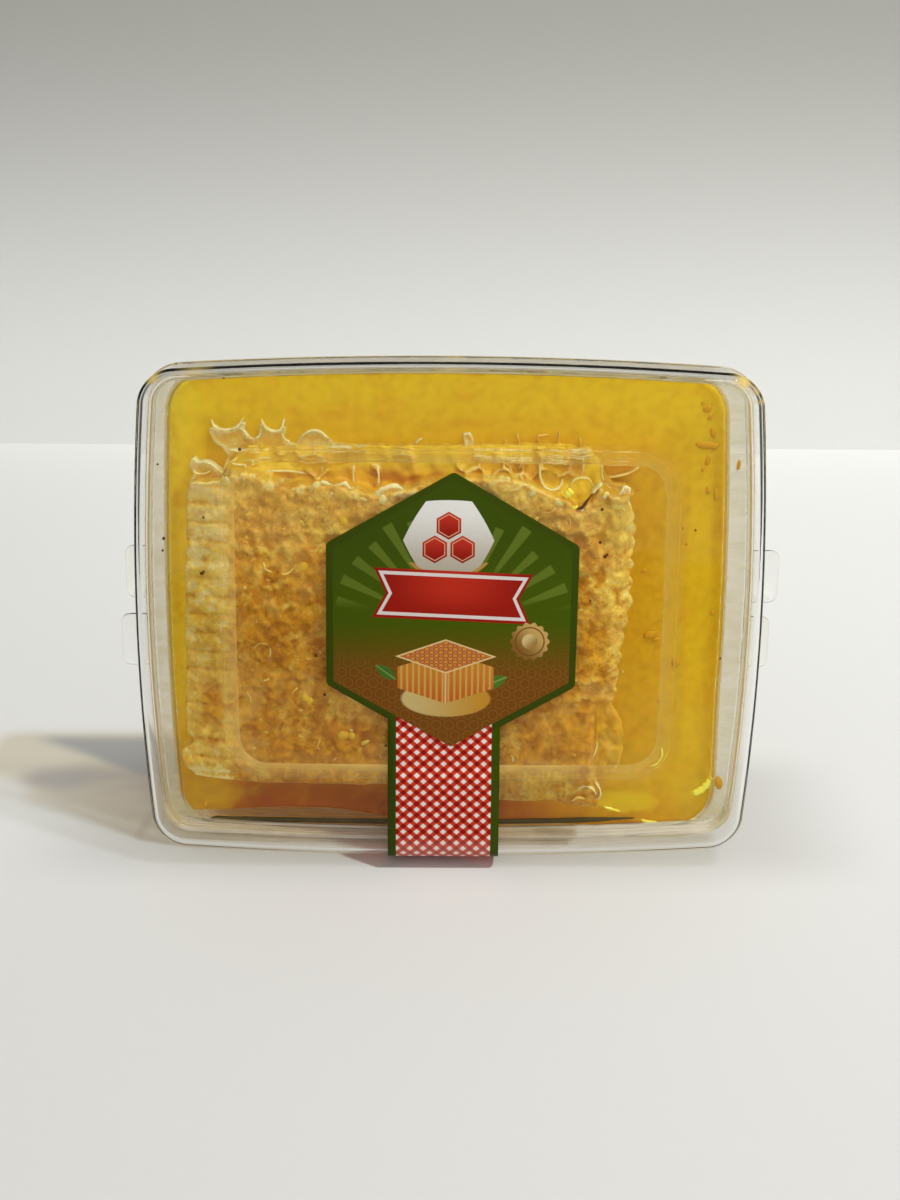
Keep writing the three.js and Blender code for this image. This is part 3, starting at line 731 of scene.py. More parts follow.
def make_comb(mat):
    step = 0.40
    xs, zs = np.arange(-70, 49, step), np.arange(-56, 47.5, step)
    X, Z = [a.ravel() for a in np.meshgrid(xs, zs, indexing="ij")]
    nx, nz = len(xs), len(zs)
    cells = comb_cells()
    C = np.array([c[:2] for c in cells])
    ids = np.array([c[2:] for c in cells])

    P = spots(COMB_EDGE)

    def field(x, z):
        ragged = 0.9 * (fbm(x * 0.45, z * 0.45, 5, 4) - 0.5) + 0.7 * sstep(38, 43, x) * (fbm(x * 0.3, z * 0.3, 9, 2) - 0.5)
        # whole cells bulge from the right-hand edge, one to a row
        ragged = ragged + 1.1 * sstep(37, 42, x) * sstep(-20, -16, z) * (np.abs(np.cos(math.pi * (z - ROW_Z + 0.5 * np.sin(z * 0.6)) / PITCH_Z)) - 0.6)
        return poly_field(x, z, P) + ragged

    f = field(X, Z).reshape(nx, nz)
    fc = 0.25 * (f[:-1, :-1] + f[1:, :-1] + f[1:, 1:] + f[:-1, 1:])
    keep = fc > 0
    for _ in range(3):  # no faces that hang on by a corner
        pad = np.pad(keep, 1)
        near = pad[:-2, 1:-1].astype(int) + pad[2:, 1:-1] + pad[1:-1, :-2] + pad[1:-1, 2:]
        keep = (keep & (near >= 2)) | (near >= 4)
    used = np.zeros((nx, nz), bool)
    for a, b in ((0, 0), (1, 0), (1, 1), (0, 1)):
        used[a : nx - 1 + a, b : nz - 1 + b] |= keep
    inner = np.zeros((nx, nz), bool)
    inner[1:-1, 1:-1] = keep[:-1, :-1] & keep[1:, :-1] & keep[1:, 1:] & keep[:-1, 1:]
    rim = (used & ~inner).ravel()
    # the rim is drawn to the outline itself
    x, z = X.copy(), Z.copy()
    for _ in range(3):
        e = 0.2
        f0 = field(x[rim], z[rim])
        gx = (field(x[rim] + e, z[rim]) - field(x[rim] - e, z[rim])) / (2 * e)
        gz = (field(x[rim], z[rim] + e) - field(x[rim], z[rim] - e)) / (2 * e)
        g2 = np.maximum(gx * gx + gz * gz, 0.35)
        x[rim] -= np.clip(f0 * gx / g2, -0.3, 0.3)
        z[rim] -= np.clip(f0 * gz / g2, -0.3, 0.3)
    index = -np.ones(nx * nz, int)
    sel = np.flatnonzero(used.ravel())
    index[sel] = np.arange(len(sel))
    x, z = x[sel], z[sel]
    rim = rim[sel]
    I, J = np.nonzero(keep)
    quad = np.stack([index[I * nz + J], index[(I + 1) * nz + J], index[(I + 1) * nz + J + 1], index[I * nz + J + 1]], -1)

    # cells as they show: drawn out sideways along the cut left edge, downwards along the bottom
    u = np.where(x < -50, -50 + (x + 50) * 0.34, x)
    v = np.where(z < -40, -40 + (z + 40) * 0.36, z)
    u = u + 1.5 * (fbm(x * 0.22, z * 0.22, 11, 3) - 0.5) * 2
    v = v + 1.5 * (fbm(x * 0.22 + 40, z * 0.22, 12, 3) - 0.5) * 2
    d1, d2, k = two_nearest(np.stack([u, v], -1), C)
    gap = (d2 - d1) * 0.5
    ci = ids[k]
    kind = _hash(ci[:, 0].astype(float), ci[:, 1].astype(float), 7)
    deep = _hash(ci[:, 0].astype(float), ci[:, 1].astype(float), 8)
    thick = 0.40 + 0.40 * fbm(x * 0.5, z * 0.5, 21, 2)
    wall = 1 - sstep(thick * 0.2, thick * 1.9, gap)
    bowl = sstep(0.3, 2.1, gap)
    opened = (kind < 0.07).astype(float)
    # the pressed face: smeared wax in flakes, with the cells' walls showing through here and there
    wx = x + 1.6 * (fbm(x * 0.4, z * 0.4, 101, 3) - 0.5) * 2
    wz = z + 1.6 * (fbm(x * 0.4, z * 0.4, 102, 3) - 0.5) * 2
    f1, f2, fid = flakes(wx, wz * 1.2, 3.4, 103)
    g1, g2, gid = flakes(wx, wz, 1.5, 104)
    seen = 0.15 + 0.85 * sstep(0.44, 0.66, fbm(x * 0.09, z * 0.09, 51, 3))
    right = sstep(36.5, 40.5, x)
    seen = np.maximum(seen, 0.65 * right)
    margin_l = sstep(-52.5, -55.0, x)
    margin_b = sstep(-38.3, -40.5, z)
    seen = seen * (1 - 0.7 * np.maximum(margin_l, margin_b))
    rough = fbm(x * 0.7, z * 0.7, 31, 4) - 0.5
    grit = fbm(x * 2.0, z * 2.0, 41, 3) - 0.5
    swell = fbm(x * 0.16, z * 0.16, 45, 2) - 0.5
    dip = (0.30 + 0.9 * opened * deep) * bowl
    face = comb_base(x, z) - 0.32 * wall * seen * (1 - right) + dip * seen * (1 - 0.8 * right) - right * 0.75 * sstep(0.0, 2.0, gap)
    face = face + (1 - 0.6 * seen) * (fid - 0.5) * 0.45 + (gid - 0.5) * 0.22
    face = face + rough * 0.75 * (1 - 0.55 * margin_l) + grit * 0.28 * (1 - 0.8 * margin_l) + swell * 0.9
    rows = 0.5 + 0.5 * np.cos(2 * math.pi * (z + 0.9 * rough) / PITCH_Z)
    ribs = 0.5 + 0.5 * np.cos(2 * math.pi * (x + 1.4 * rough) / 1.5)
    face = face + margin_l * (0.30 * rows ** 6) + margin_b * (1 - margin_l) * 0.22 * (ribs - 0.5)
    level = 2.62 + 0.10 * fbm(x * 0.6, z * 0.6, 71, 2) + 0.04 * gid
    face = np.where(face < level, level - 0.06 * np.minimum(level - face, 0.8), face)
    # above the ridge the cells are torn open and full of honey
    rag = 1.5 * (fbm(x * 0.42, z * 0.25, 111, 3) - 0.5)
    T = sstep(-0.3, 1.3, z - ridge_line(x) - rag)
    thin = 1 - sstep(0.08, 0.42 + 0.3 * fbm(x * 0.4, z * 0.4, 65, 2), gap)
    keepwall = sstep(0.47, 0.62, fbm(x * 0.22, z * 0.22, 66, 2))
    pit = 8.6 + 2.0 * sstep(0.0, 9.0, z - ridge_line(x)) + 0.9 * swell + 0.45 * sstep(0.2, 1.8, gap) + rough * 0.35
    stand = thin * keepwall * (0.7 + 1.5 * fbm(x * 0.3, z * 0.3, 62, 2))
    y = face * (1 - T) + (pit - stand) * T
    crest = np.exp(-(((z - ridge_line(x) - rag + 0.7) / 1.5) ** 2)) * sstep(0.42, 0.62, fbm(x * 0.30, z * 0.30, 64, 3)) * (0.5 + 0.5 * (gid > 0.4))
    y = y - 0.75 * crest * (1 - T) * (0.6 + 0.8 * gid)
    y = np.clip(y, 2.5, 19.0)
    y[rim] += 0.3
    hollow = np.clip((1 - T) * (seen * dip * (0.36 - 0.34 * right) + 0.5 * sstep(0.10, 0.35, swell) * (1 - seen)) + T * (1.0 - thin * keepwall), 0, 1)
    lobe = sstep(7.0, 9.0, comb_base(x, z)) * sstep(-20.5, -23.5, z)
    high = sstep(-22.0, 18.0, z)
    pale_face = 0.24 * wall * seen + 0.55 * np.clip(fid - 0.55, 0, 1) * (1 - 0.5 * seen) + 0.22 * (gid > 0.82) - 0.16 * bowl * seen
    pale_face = pale_face + 0.16 * high + 0.30 * sstep(16, 32, z) * fbm(x * 0.1, z * 0.1, 68, 2)
    pale_face = pale_face + margin_l * (0.60 + 0.02 * high - 0.30 * rows ** 8 * (fbm(x * 0.2, z * 0.5, 69, 2) > 0.45)) + margin_b * (-0.12 + 0.46 * sstep(0, 20, x) + 0.45 * sstep(-42, -50, x) + 0.16 * (ribs - 0.5))
    stain_x, stain_z = at(212, 705, 3.4)
    stain = np.exp(-(((x - stain_x) / 2.8) ** 2 + ((z - stain_z) / 8.0) ** 2) ** 2)
    pale_face = pale_face - 0.55 * stain + 0.26 * sstep(42.0, 45.0, x) * sstep(-24.0, -8.0, z)
    pale_face = pale_face + 0.85 * crest + right * (0.34 * sstep(0.2, 1.6, gap) + 0.20 - 0.30 * sstep(0.35, 0.0, gap)) - 0.5 * lobe
    pale = np.clip(pale_face * (1 - T) + (thin * keepwall * 0.9 + 0.12) * T + 0.30 * rough, 0, 1)

    # the upper right corner, and milky wax in the torn cells
    corner_x, corner_z = at(600, 504, 5.0)[0], at(612, 504, 5.0)[1]

    def corner(cx, cz):
        side = sstep(corner_x - 1.0, corner_x + 1.5, cx)
        return side * (0.55 * sstep(corner_z - 11.0, corner_z - 8.0, cz) + 1.35 * sstep(corner_z - 0.9, corner_z + 0.9, cz))

    steep = np.maximum(np.clip(4 * T * (1 - T), 0, 1), corner(x, z))
    milky = np.zeros(len(x))
    for mx, my, rx, rz, amount in ((572, 469, 2.1, 2.4, 0.60), (536, 471, 0.7, 2.8, 0.45), (583, 473, 0.6, 2.4, 0.45), (604, 474, 0.7, 2.6, 0.45), (514, 478, 1.0, 2.0, 0.35)):
        sx, sz = at(mx, my, 9.0)
        milky = np.maximum(milky, amount * np.exp(-(((x - sx) / rx) ** 2 + ((z - sz) / rz) ** 2) ** 2) * (0.6 + 0.6 * fid))
    pale = np.clip(pale + milky * T, 0, 1)
    honeyed = np.clip(sstep(0.45, 0.98, T) * (1 - 0.92 * thin * keepwall) * (1 - milky) + 0.45 * lobe, 0, 1)

    # sides: straight back into the honey, ribbed by the cell walls they cut through
    edges = {}
    for q in quad:
        for a, b in ((q[0], q[1]), (q[1], q[2]), (q[2], q[3]), (q[3], q[0])):
            edges[(a, b)] = True
    nxt = {a: b for (a, b) in edges if (b, a) not in edges}
    V = [np.stack([x, y, z], -1)]
    F = [tuple(q) for q in quad]
    at_h, at_p, at_o, at_s = [hollow], [pale], [honeyed], [steep]
    loops, left = [], set(nxt)
    while left:
        s = min(left)
        loop, a = [], s
        while a in left:
            left.discard(a)
            loop.append(a)
            a = nxt[a]
        loops.append(loop)
    count = len(x)
    depths = [0.12, 0.3, 0.55, 0.8, 1.0]
    for loop in loops:
        lx, lz, ly = x[loop], z[loop], y[loop]
        prev, n = list(loop), len(loop)
        foot = 22.0
        for t in depths:
            yy = ly + (foot - ly) * t
            ins = 0.25 * t + 0.25 * np.sin(ly * 3 + np.arange(n) * 0.9) * t
            cx, cz = np.roll(lx, -1) - np.roll(lx, 1), np.roll(lz, -1) - np.roll(lz, 1)
            ln = np.maximum(np.hypot(cx, cz), 1e-6)
            V.append(np.stack([lx - cz / ln * ins * -1 * -1, yy, lz + cx / ln * ins], -1))
            at_h.append(np.full(n, 0.15))
            at_o.append(np.full(n, 0.35))
            at_s.append(np.maximum(0.7 * sstep(22, 28, lz), corner(lx, lz)))
            at_p.append(np.full(n, 0.45) + 0.3 * np.sin(np.arange(n) * 0.7))
            ring = list(range(count, count + n))
            count += n
            for i in range(n):
                j = (i + 1) % n
                F.append((prev[j], prev[i], ring[i], ring[j]))
            prev = ring
        if len(loop) > 3:
            F.append(tuple(prev))
    V = np.concatenate(V)
    ob = outward(make("comb_body", V, F, [mat], attrs={"hollow": np.concatenate(at_h), "pale": np.clip(np.concatenate(at_p), 0, 1), "honeyed": np.concatenate(at_o), "steep": np.concatenate(at_s)}))
    return ob


def ribbon(path, y_front, y_back, thick, seed, taper=True, wave=2.0):
    """A thin upright wall along a path in X, Z, from y_front to y_back, closed all round."""
    p = np.array(path, float)
    n = len(p)
    t = np.gradient(p, axis=0)
    t /= np.maximum(np.linalg.norm(t, axis=1), 1e-6)[:, None]
    nrm = np.stack([t[:, 1], -t[:, 0]], -1)
    s = np.arange(n)
    ends = np.minimum(np.minimum(s, n - 1 - s) / max(2.0, n * 0.18), 1.0) if taper else np.ones(n)
    w = thick * (0.35 + 0.65 * np.sqrt(ends)) * (0.8 + 0.5 * noise(s * 0.6, s * 0 + seed, seed))
    yf = y_front + wave * (noise(s * 0.35, s * 0 + 3.3, seed + 9) - 0.5) + (1 - ends) * 1.2
    V = []
    levels = [0.0, 0.06, 0.35, 1.0]
    for side in (1, -1):
        for k, lv in enumerate(levels):
            ww = w * (0.45 if k == 0 else (0.85 if k == 1 else 1.0 + 0.25 * lv))
            yy = yf + (y_back - yf) * lv
            q = p + nrm * (side * ww / 2)[:, None]
            V.append(np.stack([q[:, 0], yy, q[:, 1]], -1))
    V = np.concatenate(V)
    L = len(levels)
    F = []
    idx = lambda side, k, i: (side * L + k) * n + i
    for i in range(n - 1):
        for k in range(L - 1):
            F.append((idx(0, k, i), idx(0, k, i + 1), idx(0, k + 1, i + 1), idx(0, k + 1, i)))
            F.append((idx(1, k, i + 1), idx(1, k, i), idx(1, k + 1, i), idx(1, k + 1, i + 1)))
        F.append((idx(0, 0, i + 1), idx(0, 0, i), idx(1, 0, i), idx(1, 0, i + 1)))
        F.append((idx(0, L - 1, i), idx(0, L - 1, i + 1), idx(1, L - 1, i + 1), idx(1, L - 1, i)))
    for i in (0, n - 1):
        ring = [idx(0, k, i) for k in range(L)] + [idx(1, k, i) for k in range(L - 1, -1, -1)]
        F.append(tuple(ring if i == 0 else ring[::-1]))
    return V, F


def arc(cx, cz, r, a0, a1, n=22, seed=0, squash=1.0):
    t = np.radians(np.linspace(a0, a1, n))
    rr = r * (1 + 0.22 * (noise(t * 1.1, t * 0 + seed, seed + 50) - 0.5))
    return np.stack([cx + rr * np.cos(t), cz + squash * rr * np.sin(t)], -1)


def sheet(points, y_mid, waves, seed, step=0.45):
    """A thin ragged sheet of wax with an outline given in the picture."""
    P = spots([(*q, y_mid) for q in points])
    lo, hi = P.min(0) - 1, P.max(0) + 1
    xs, zs = np.arange(lo[0], hi[0], step), np.arange(lo[1], hi[1], step)
    nx, nz = len(xs), len(zs)
    X, Z = [a.ravel() for a in np.meshgrid(xs, zs, indexing="ij")]
    fld = lambda x, z: poly_field(x, z, P) + 0.35 * (fbm(x * 0.9, z * 0.9, seed, 3) - 0.5)
    f = fld(X, Z).reshape(nx, nz)
    keep = 0.25 * (f[:-1, :-1] + f[1:, :-1] + f[1:, 1:] + f[:-1, 1:]) > 0
    for _ in range(3):
        pad = np.pad(keep, 1)
        near = pad[:-2, 1:-1].astype(int) + pad[2:, 1:-1] + pad[1:-1, :-2] + pad[1:-1, 2:]
        keep = (keep & (near >= 2)) | (near >= 4)
    used = np.zeros((nx, nz), bool)
    for a, b in ((0, 0), (1, 0), (1, 1), (0, 1)):
        used[a : nx - 1 + a, b : nz - 1 + b] |= keep
    inner = np.zeros((nx, nz), bool)
    inner[1:-1, 1:-1] = keep[:-1, :-1] & keep[1:, :-1] & keep[1:, 1:] & keep[:-1, 1:]
    rim = (used & ~inner).ravel()
    x, z = X.copy(), Z.copy()
    for _ in range(3):
        e = 0.2
        f0 = fld(x[rim], z[rim])
        gx = (fld(x[rim] + e, z[rim]) - fld(x[rim] - e, z[rim])) / (2 * e)
        gz = (fld(x[rim], z[rim] + e) - fld(x[rim], z[rim] - e)) / (2 * e)
        g2 = np.maximum(gx * gx + gz * gz, 0.35)
        x[rim] -= np.clip(f0 * gx / g2, -0.25, 0.25)
        z[rim] -= np.clip(f0 * gz / g2, -0.25, 0.25)
    d = np.clip(fld(x, z), 0, 3)
    index = -np.ones(nx * nz, int)
    sel = np.flatnonzero(used.ravel())
    index[sel] = np.arange(len(sel))
    x, z, d = x[sel], z[sel], d[sel]
    n = len(sel)
    yf = y_mid - 0.5 * np.exp(-d / 0.5) + waves * (fbm(x * 0.3, z * 0.3, seed + 5, 3) - 0.5) * 2
    V = np.concatenate([np.stack([x, yf, z], -1), np.stack([x, yf * 0 + max(y_mid + 1.6, 16.0), z], -1)])
    I, J = np.nonzero(keep)
    F, edges = [], {}
    for q in np.stack([index[I * nz + J], index[(I + 1) * nz + J], index[(I + 1) * nz + J + 1], index[I * nz + J + 1]], -1):
        a, b, c, e = (int(v) for v in q)
        F.append((a, b, c, e))
        F.append((e + n, c + n, b + n, a + n))
        for u, v in ((a, b), (b, c), (c, e), (e, a)):
            edges[(u, v)] = True
    for u, v in edges:
        if (v, u) not in edges:
            F.append((v, u, u + n, v + n))
    pale = np.clip(0.22 + 0.80 * np.exp(-d / 0.55) + 0.5 * (fbm(x * 0.35, z * 0.35, seed + 9, 3) - 0.5), 0, 1)
    return V, F, np.concatenate([pale, pale])


def make_torn_cells(mat):
    """Torn cell walls and folds of wax that stand in the honey along the comb's top and sides."""
    parts, pale = [], []

    def add(vf, tone=None):
        parts.append(vf[:2])
        pale.append(vf[2] if len(vf) > 2 else 0.80 + 0.2 * noise(vf[0][:, 0] * 0.6, vf[0][:, 2] * 0.6, 77) if tone is None else np.full(len(vf[0]), tone))

    add(sheet(
        [(211, 421), (214, 428), (222, 431), (232, 431), (240, 427), (243, 418), (246, 424), (244, 431), (247, 437), (253, 440), (259, 437),
         (261, 420), (266, 428), (273, 432), (281, 431), (284, 419), (286, 430), (284, 438), (286, 446), (296, 447), (299, 440), (304, 434),
         (312, 430), (321, 432), (328, 438), (334, 445), (352, 447), (350, 455), (240, 472), (231, 475), (224, 468), (229, 455), (222, 447), (214, 441), (210, 432)],
        14.4, 0.25, 501,
    ))
    add(sheet(
        [(192, 457), (197, 463), (206, 461), (213, 466), (221, 473), (233, 477), (240, 484), (222, 486), (200, 485), (189, 482), (195, 474), (190, 466)],
        11.6, 0.5, 541,
    ))
    add(sheet([(598, 500), (601, 487), (606, 492), (612, 500), (622, 496), (625, 486), (631, 488), (629, 500), (634, 516), (620, 512), (608, 508)], 7.0, 0.5, 561))
    add(sheet([(463, 434), (470, 433), (474, 440), (472, 448), (465, 449)], 12.5, 0.2, 571))
    add(sheet([(372, 497), (380, 490), (392, 486), (403, 488), (407, 496), (396, 503), (380, 502)], 4.4, 0.3, 575))
    add(sheet([(312, 486), (322, 482), (334, 485), (345, 483), (352, 489), (342, 494), (326, 494)], 4.4, 0.3, 577))
    # walls and rims: lines in the picture with depth, thickness and how far they stand forward
    lines = [
        ([(211, 420), (213, 426), (221, 430), (230, 430), (238, 427), (243, 418)], 13.4, 0.6),
        ([(238, 427), (245, 432), (248, 438), (254, 440), (260, 436), (262, 429)], 13.0, 0.5),
        ([(261, 420), (264, 427), (272, 432), (281, 431), (284, 419)], 13.2, 0.7),
        ([(281, 431), (284, 440), (291, 446), (297, 446)], 13.3, 0.45),
        ([(297, 447), (299, 440), (304, 434), (312, 430), (321, 432), (327, 438), (333, 446)], 13.4, 0.45),
        ([(311, 430), (319, 433), (325, 440), (328, 447)], 13.8, 0.35),
        ([(330, 444), (342, 446), (352, 446)], 13.8, 0.3),
        ([(193, 458), (196, 463), (206, 462), (213, 466), (222, 473), (232, 477)], 10.6, 0.6),
        ([(191, 468), (196, 474), (205, 474), (212, 470)], 10.8, 0.45),
        ([(236, 462), (250, 458), (270, 460), (290, 457)], 12.2, 0.35),
        ([(252, 476), (268, 471), (290, 471), (307, 474)], 8.0, 0.45),
        ([(258, 480), (276, 478), (296, 481)], 8.0, 0.35),
        ([(354, 486), (353, 476), (354, 464)], 8.2, 0.45),
        ([(378, 488), (379, 477), (377, 463)], 8.0, 0.5),
        ([(354, 484), (361, 490), (370, 494)], 7.0, 0.5),
        ([(322, 482), (322, 466)], 8.6, 0.4),
        ([(414, 447), (418, 442), (422, 439)], 13.0, 0.5),
        ([(520, 476), (524, 484), (532, 487)], 4.2, 0.4),
        ([(566, 500), (566, 512), (571, 522), (569, 532)], 3.0, 0.3),
        ([(540, 508), (546, 513), (554, 511), (557, 504)], 2.9, 0.3),
        ([(519, 449), (519, 441), (517, 434)], 13.0, 0.4),
        ([(505, 448), (505, 439)], 13.2, 0.3),
        ([(538, 449), (539, 441), (537, 436), (549, 435)], 13.2, 0.3),
        ([(559, 449), (558, 441), (560, 431)], 13.2, 0.3),
        ([(581, 449), (580, 438)], 13.2, 0.3),
        ([(540, 462), (540, 477), (543, 486), (548, 490), (554, 491), (560, 488), (563, 480)], 6.6, 0.6),
        ([(582, 477), (584, 465), (583, 455)], 9.0, 0.5),
        ([(604, 484), (602, 474), (602, 462)], 9.0, 0.5),
        ([(604, 478), (616, 477), (628, 474), (640, 468)], 12.0, 0.30),
        ([(604, 465), (618, 464), (630, 463), (637, 467)], 12.0, 0.30),
        ([(601, 487), (605, 498), (613, 500), (621, 494), (625, 487)], 6.0, 0.6),
        ([(592, 495), (597, 489), (603, 484)], 3.6, 0.5),
        ([(603, 502), (612, 505), (618, 512), (620, 523)], 3.4, 0.5),
        ([(569, 490), (572, 482), (578, 478), (587, 478), (591, 481), (593, 488)], 2.9, 0.5),
        ([(598, 488), (603, 495), (609, 501), (620, 502)], 3.2, 0.5),
        ([(521, 452), (522, 462), (519, 470)], 8.0, 0.4),
        ([(505, 462), (511, 468), (512, 478)], 7.4, 0.4),
        ([(576, 761), (583, 763), (590, 760), (595, 753), (598, 745)], 4.6, 0.5),
        ([(574, 773), (580, 768), (587, 771), (592, 777)], 4.5, 0.5),
        ([(575, 794), (580, 787), (588, 786), (594, 790), (597, 797)], 4.5, 0.5),
        ([(596, 785), (600, 789), (601, 796), (597, 801)], 4.4, 0.45),
        ([(571, 803), (578, 797), (586, 800)], 4.5, 0.4),
        ([(601, 618), (609, 622), (617, 620), (623, 614)], 4.6, 0.4),
        ([(611, 646), (618, 642), (622, 634)], 4.8, 0.4),
        ([(263, 562), (266, 570), (273, 573)], 2.7, 0.5),
        ([(278, 571), (284, 575), (291, 572), (294, 566)], 2.7, 0.4),
        ([(256, 655), (254, 648), (259, 643), (266, 643), (271, 649), (270, 657), (263, 660)], 2.75, 0.35),
        ([(317, 751), (318, 744), (321, 738)], 2.7, 0.5),
        ([(262, 681), (267, 680), (270, 678)], 2.7, 0.6),
        ([(291, 695), (294, 691), (298, 688)], 2.7, 0.45),
        ([(245, 690), (251, 697), (250, 705)], 2.8, 0.35),
    ]
    for k, (ln, yf, th) in enumerate(lines):
        pts = np.array([at(x, y, yf) for x, y in ln])
        s = np.linspace(0, len(pts) - 1, 5 * len(pts))
        i = np.minimum(s.astype(int), len(pts) - 2)
        fpart = (s - i)[:, None]
        # corners rounded by averaging along the line
        path = pts[i] * (1 - fpart) + pts[i + 1] * fpart
        for _ in range(4):
            path[1:-1] = 0.25 * path[:-2] + 0.5 * path[1:-1] + 0.25 * path[2:]
        back = 4.6 if yf < 3 else (9.0 if yf < 9 else 16.2)
        vf = ribbon(path, yf, back, th * 0.85, 90 + k, wave=0.3 if yf < 3 else 0.7)
        add(vf, 0.40 if yf < 3 else ((0.30 if yf >= 13 else 0.5) if th <= 0.4 else None))
    # thin torn edges that run along the top of the comb
    for i in range(20):
        x0, y0 = (226 + 150 * rnd(i, 1, 821), 450 + 16 * rnd(i, 2, 822)) if i % 3 == 1 else (470 + 125 * rnd(i, 3, 823), 449 + 15 * rnd(i, 4, 824))
        span, depth = 10 + 26 * rnd(i, 5, 825), 7.0 + 2.5 * rnd(i, 6, 826)
        k = np.linspace(0, 1, 14)
        q = np.array([at(x0 + span * a, y0 + 3.0 * (float(noise(np.array(a * 2.6), np.array(i * 1.7), 827)) - 0.5), depth) for a in k])
        add(ribbon(q, depth, 12.0, 0.18 + 0.20 * rnd(i, 7, 828), 300 + i, wave=0.5), 0.6 + 0.3 * rnd(i, 8, 829))
    # crumbs and flakes of wax on the pressed face
    for i in range(110):
        px, py = 240 + 150 * rnd(i, 1, 801), 480 + 280 * rnd(i, 2, 802)
        if i % 3 == 0:
            px, py = 500 + 125 * rnd(i, 3, 803), 505 + 255 * rnd(i, 4, 804)
            if px > 592 and py > 690:
                continue
        x, z = at(px, py, 2.8)
        r = 0.16 + 0.38 * rnd(i, 5, 805) ** 2
        bright = i % 5 == 0
        add(blob(x, 2.85, z, r * (0.8 if bright else 1.0), 200 + i, 0.30, 4, 1 + (3.2 if bright else 1.6) * rnd(i, 6, 806), math.pi * rnd(i, 7, 807)), 0.85 if bright else 0.45 * rnd(i, 8, 808))
    # lumps along the ridge
    for i in range(46):
        px = 192 + (410 - 192) * rnd(i, 1, 811) if i % 3 else 486 + 130 * rnd(i, 2, 812)
        x, _ = at(px, 485, 3.6)
        z = float(ridge_line(np.array(x))) - 0.6 - 1.6 * rnd(i, 3, 813)
        add(blob(x, 3.5, z, 0.5 + 0.6 * rnd(i, 4, 814), 500 + i, 0.5, 6, 1 + 0.8 * rnd(i, 5, 815), math.pi * rnd(i, 6, 816)), 0.25 + 0.5 * rnd(i, 7, 817))
    V, F = join_parts(parts)
    return outward(make("torn_cells", V, F, [mat], attrs={"hollow": np.zeros(len(V)), "pale": np.concatenate(pale), "honeyed": np.zeros(len(V)), "steep": np.zeros(len(V))}))


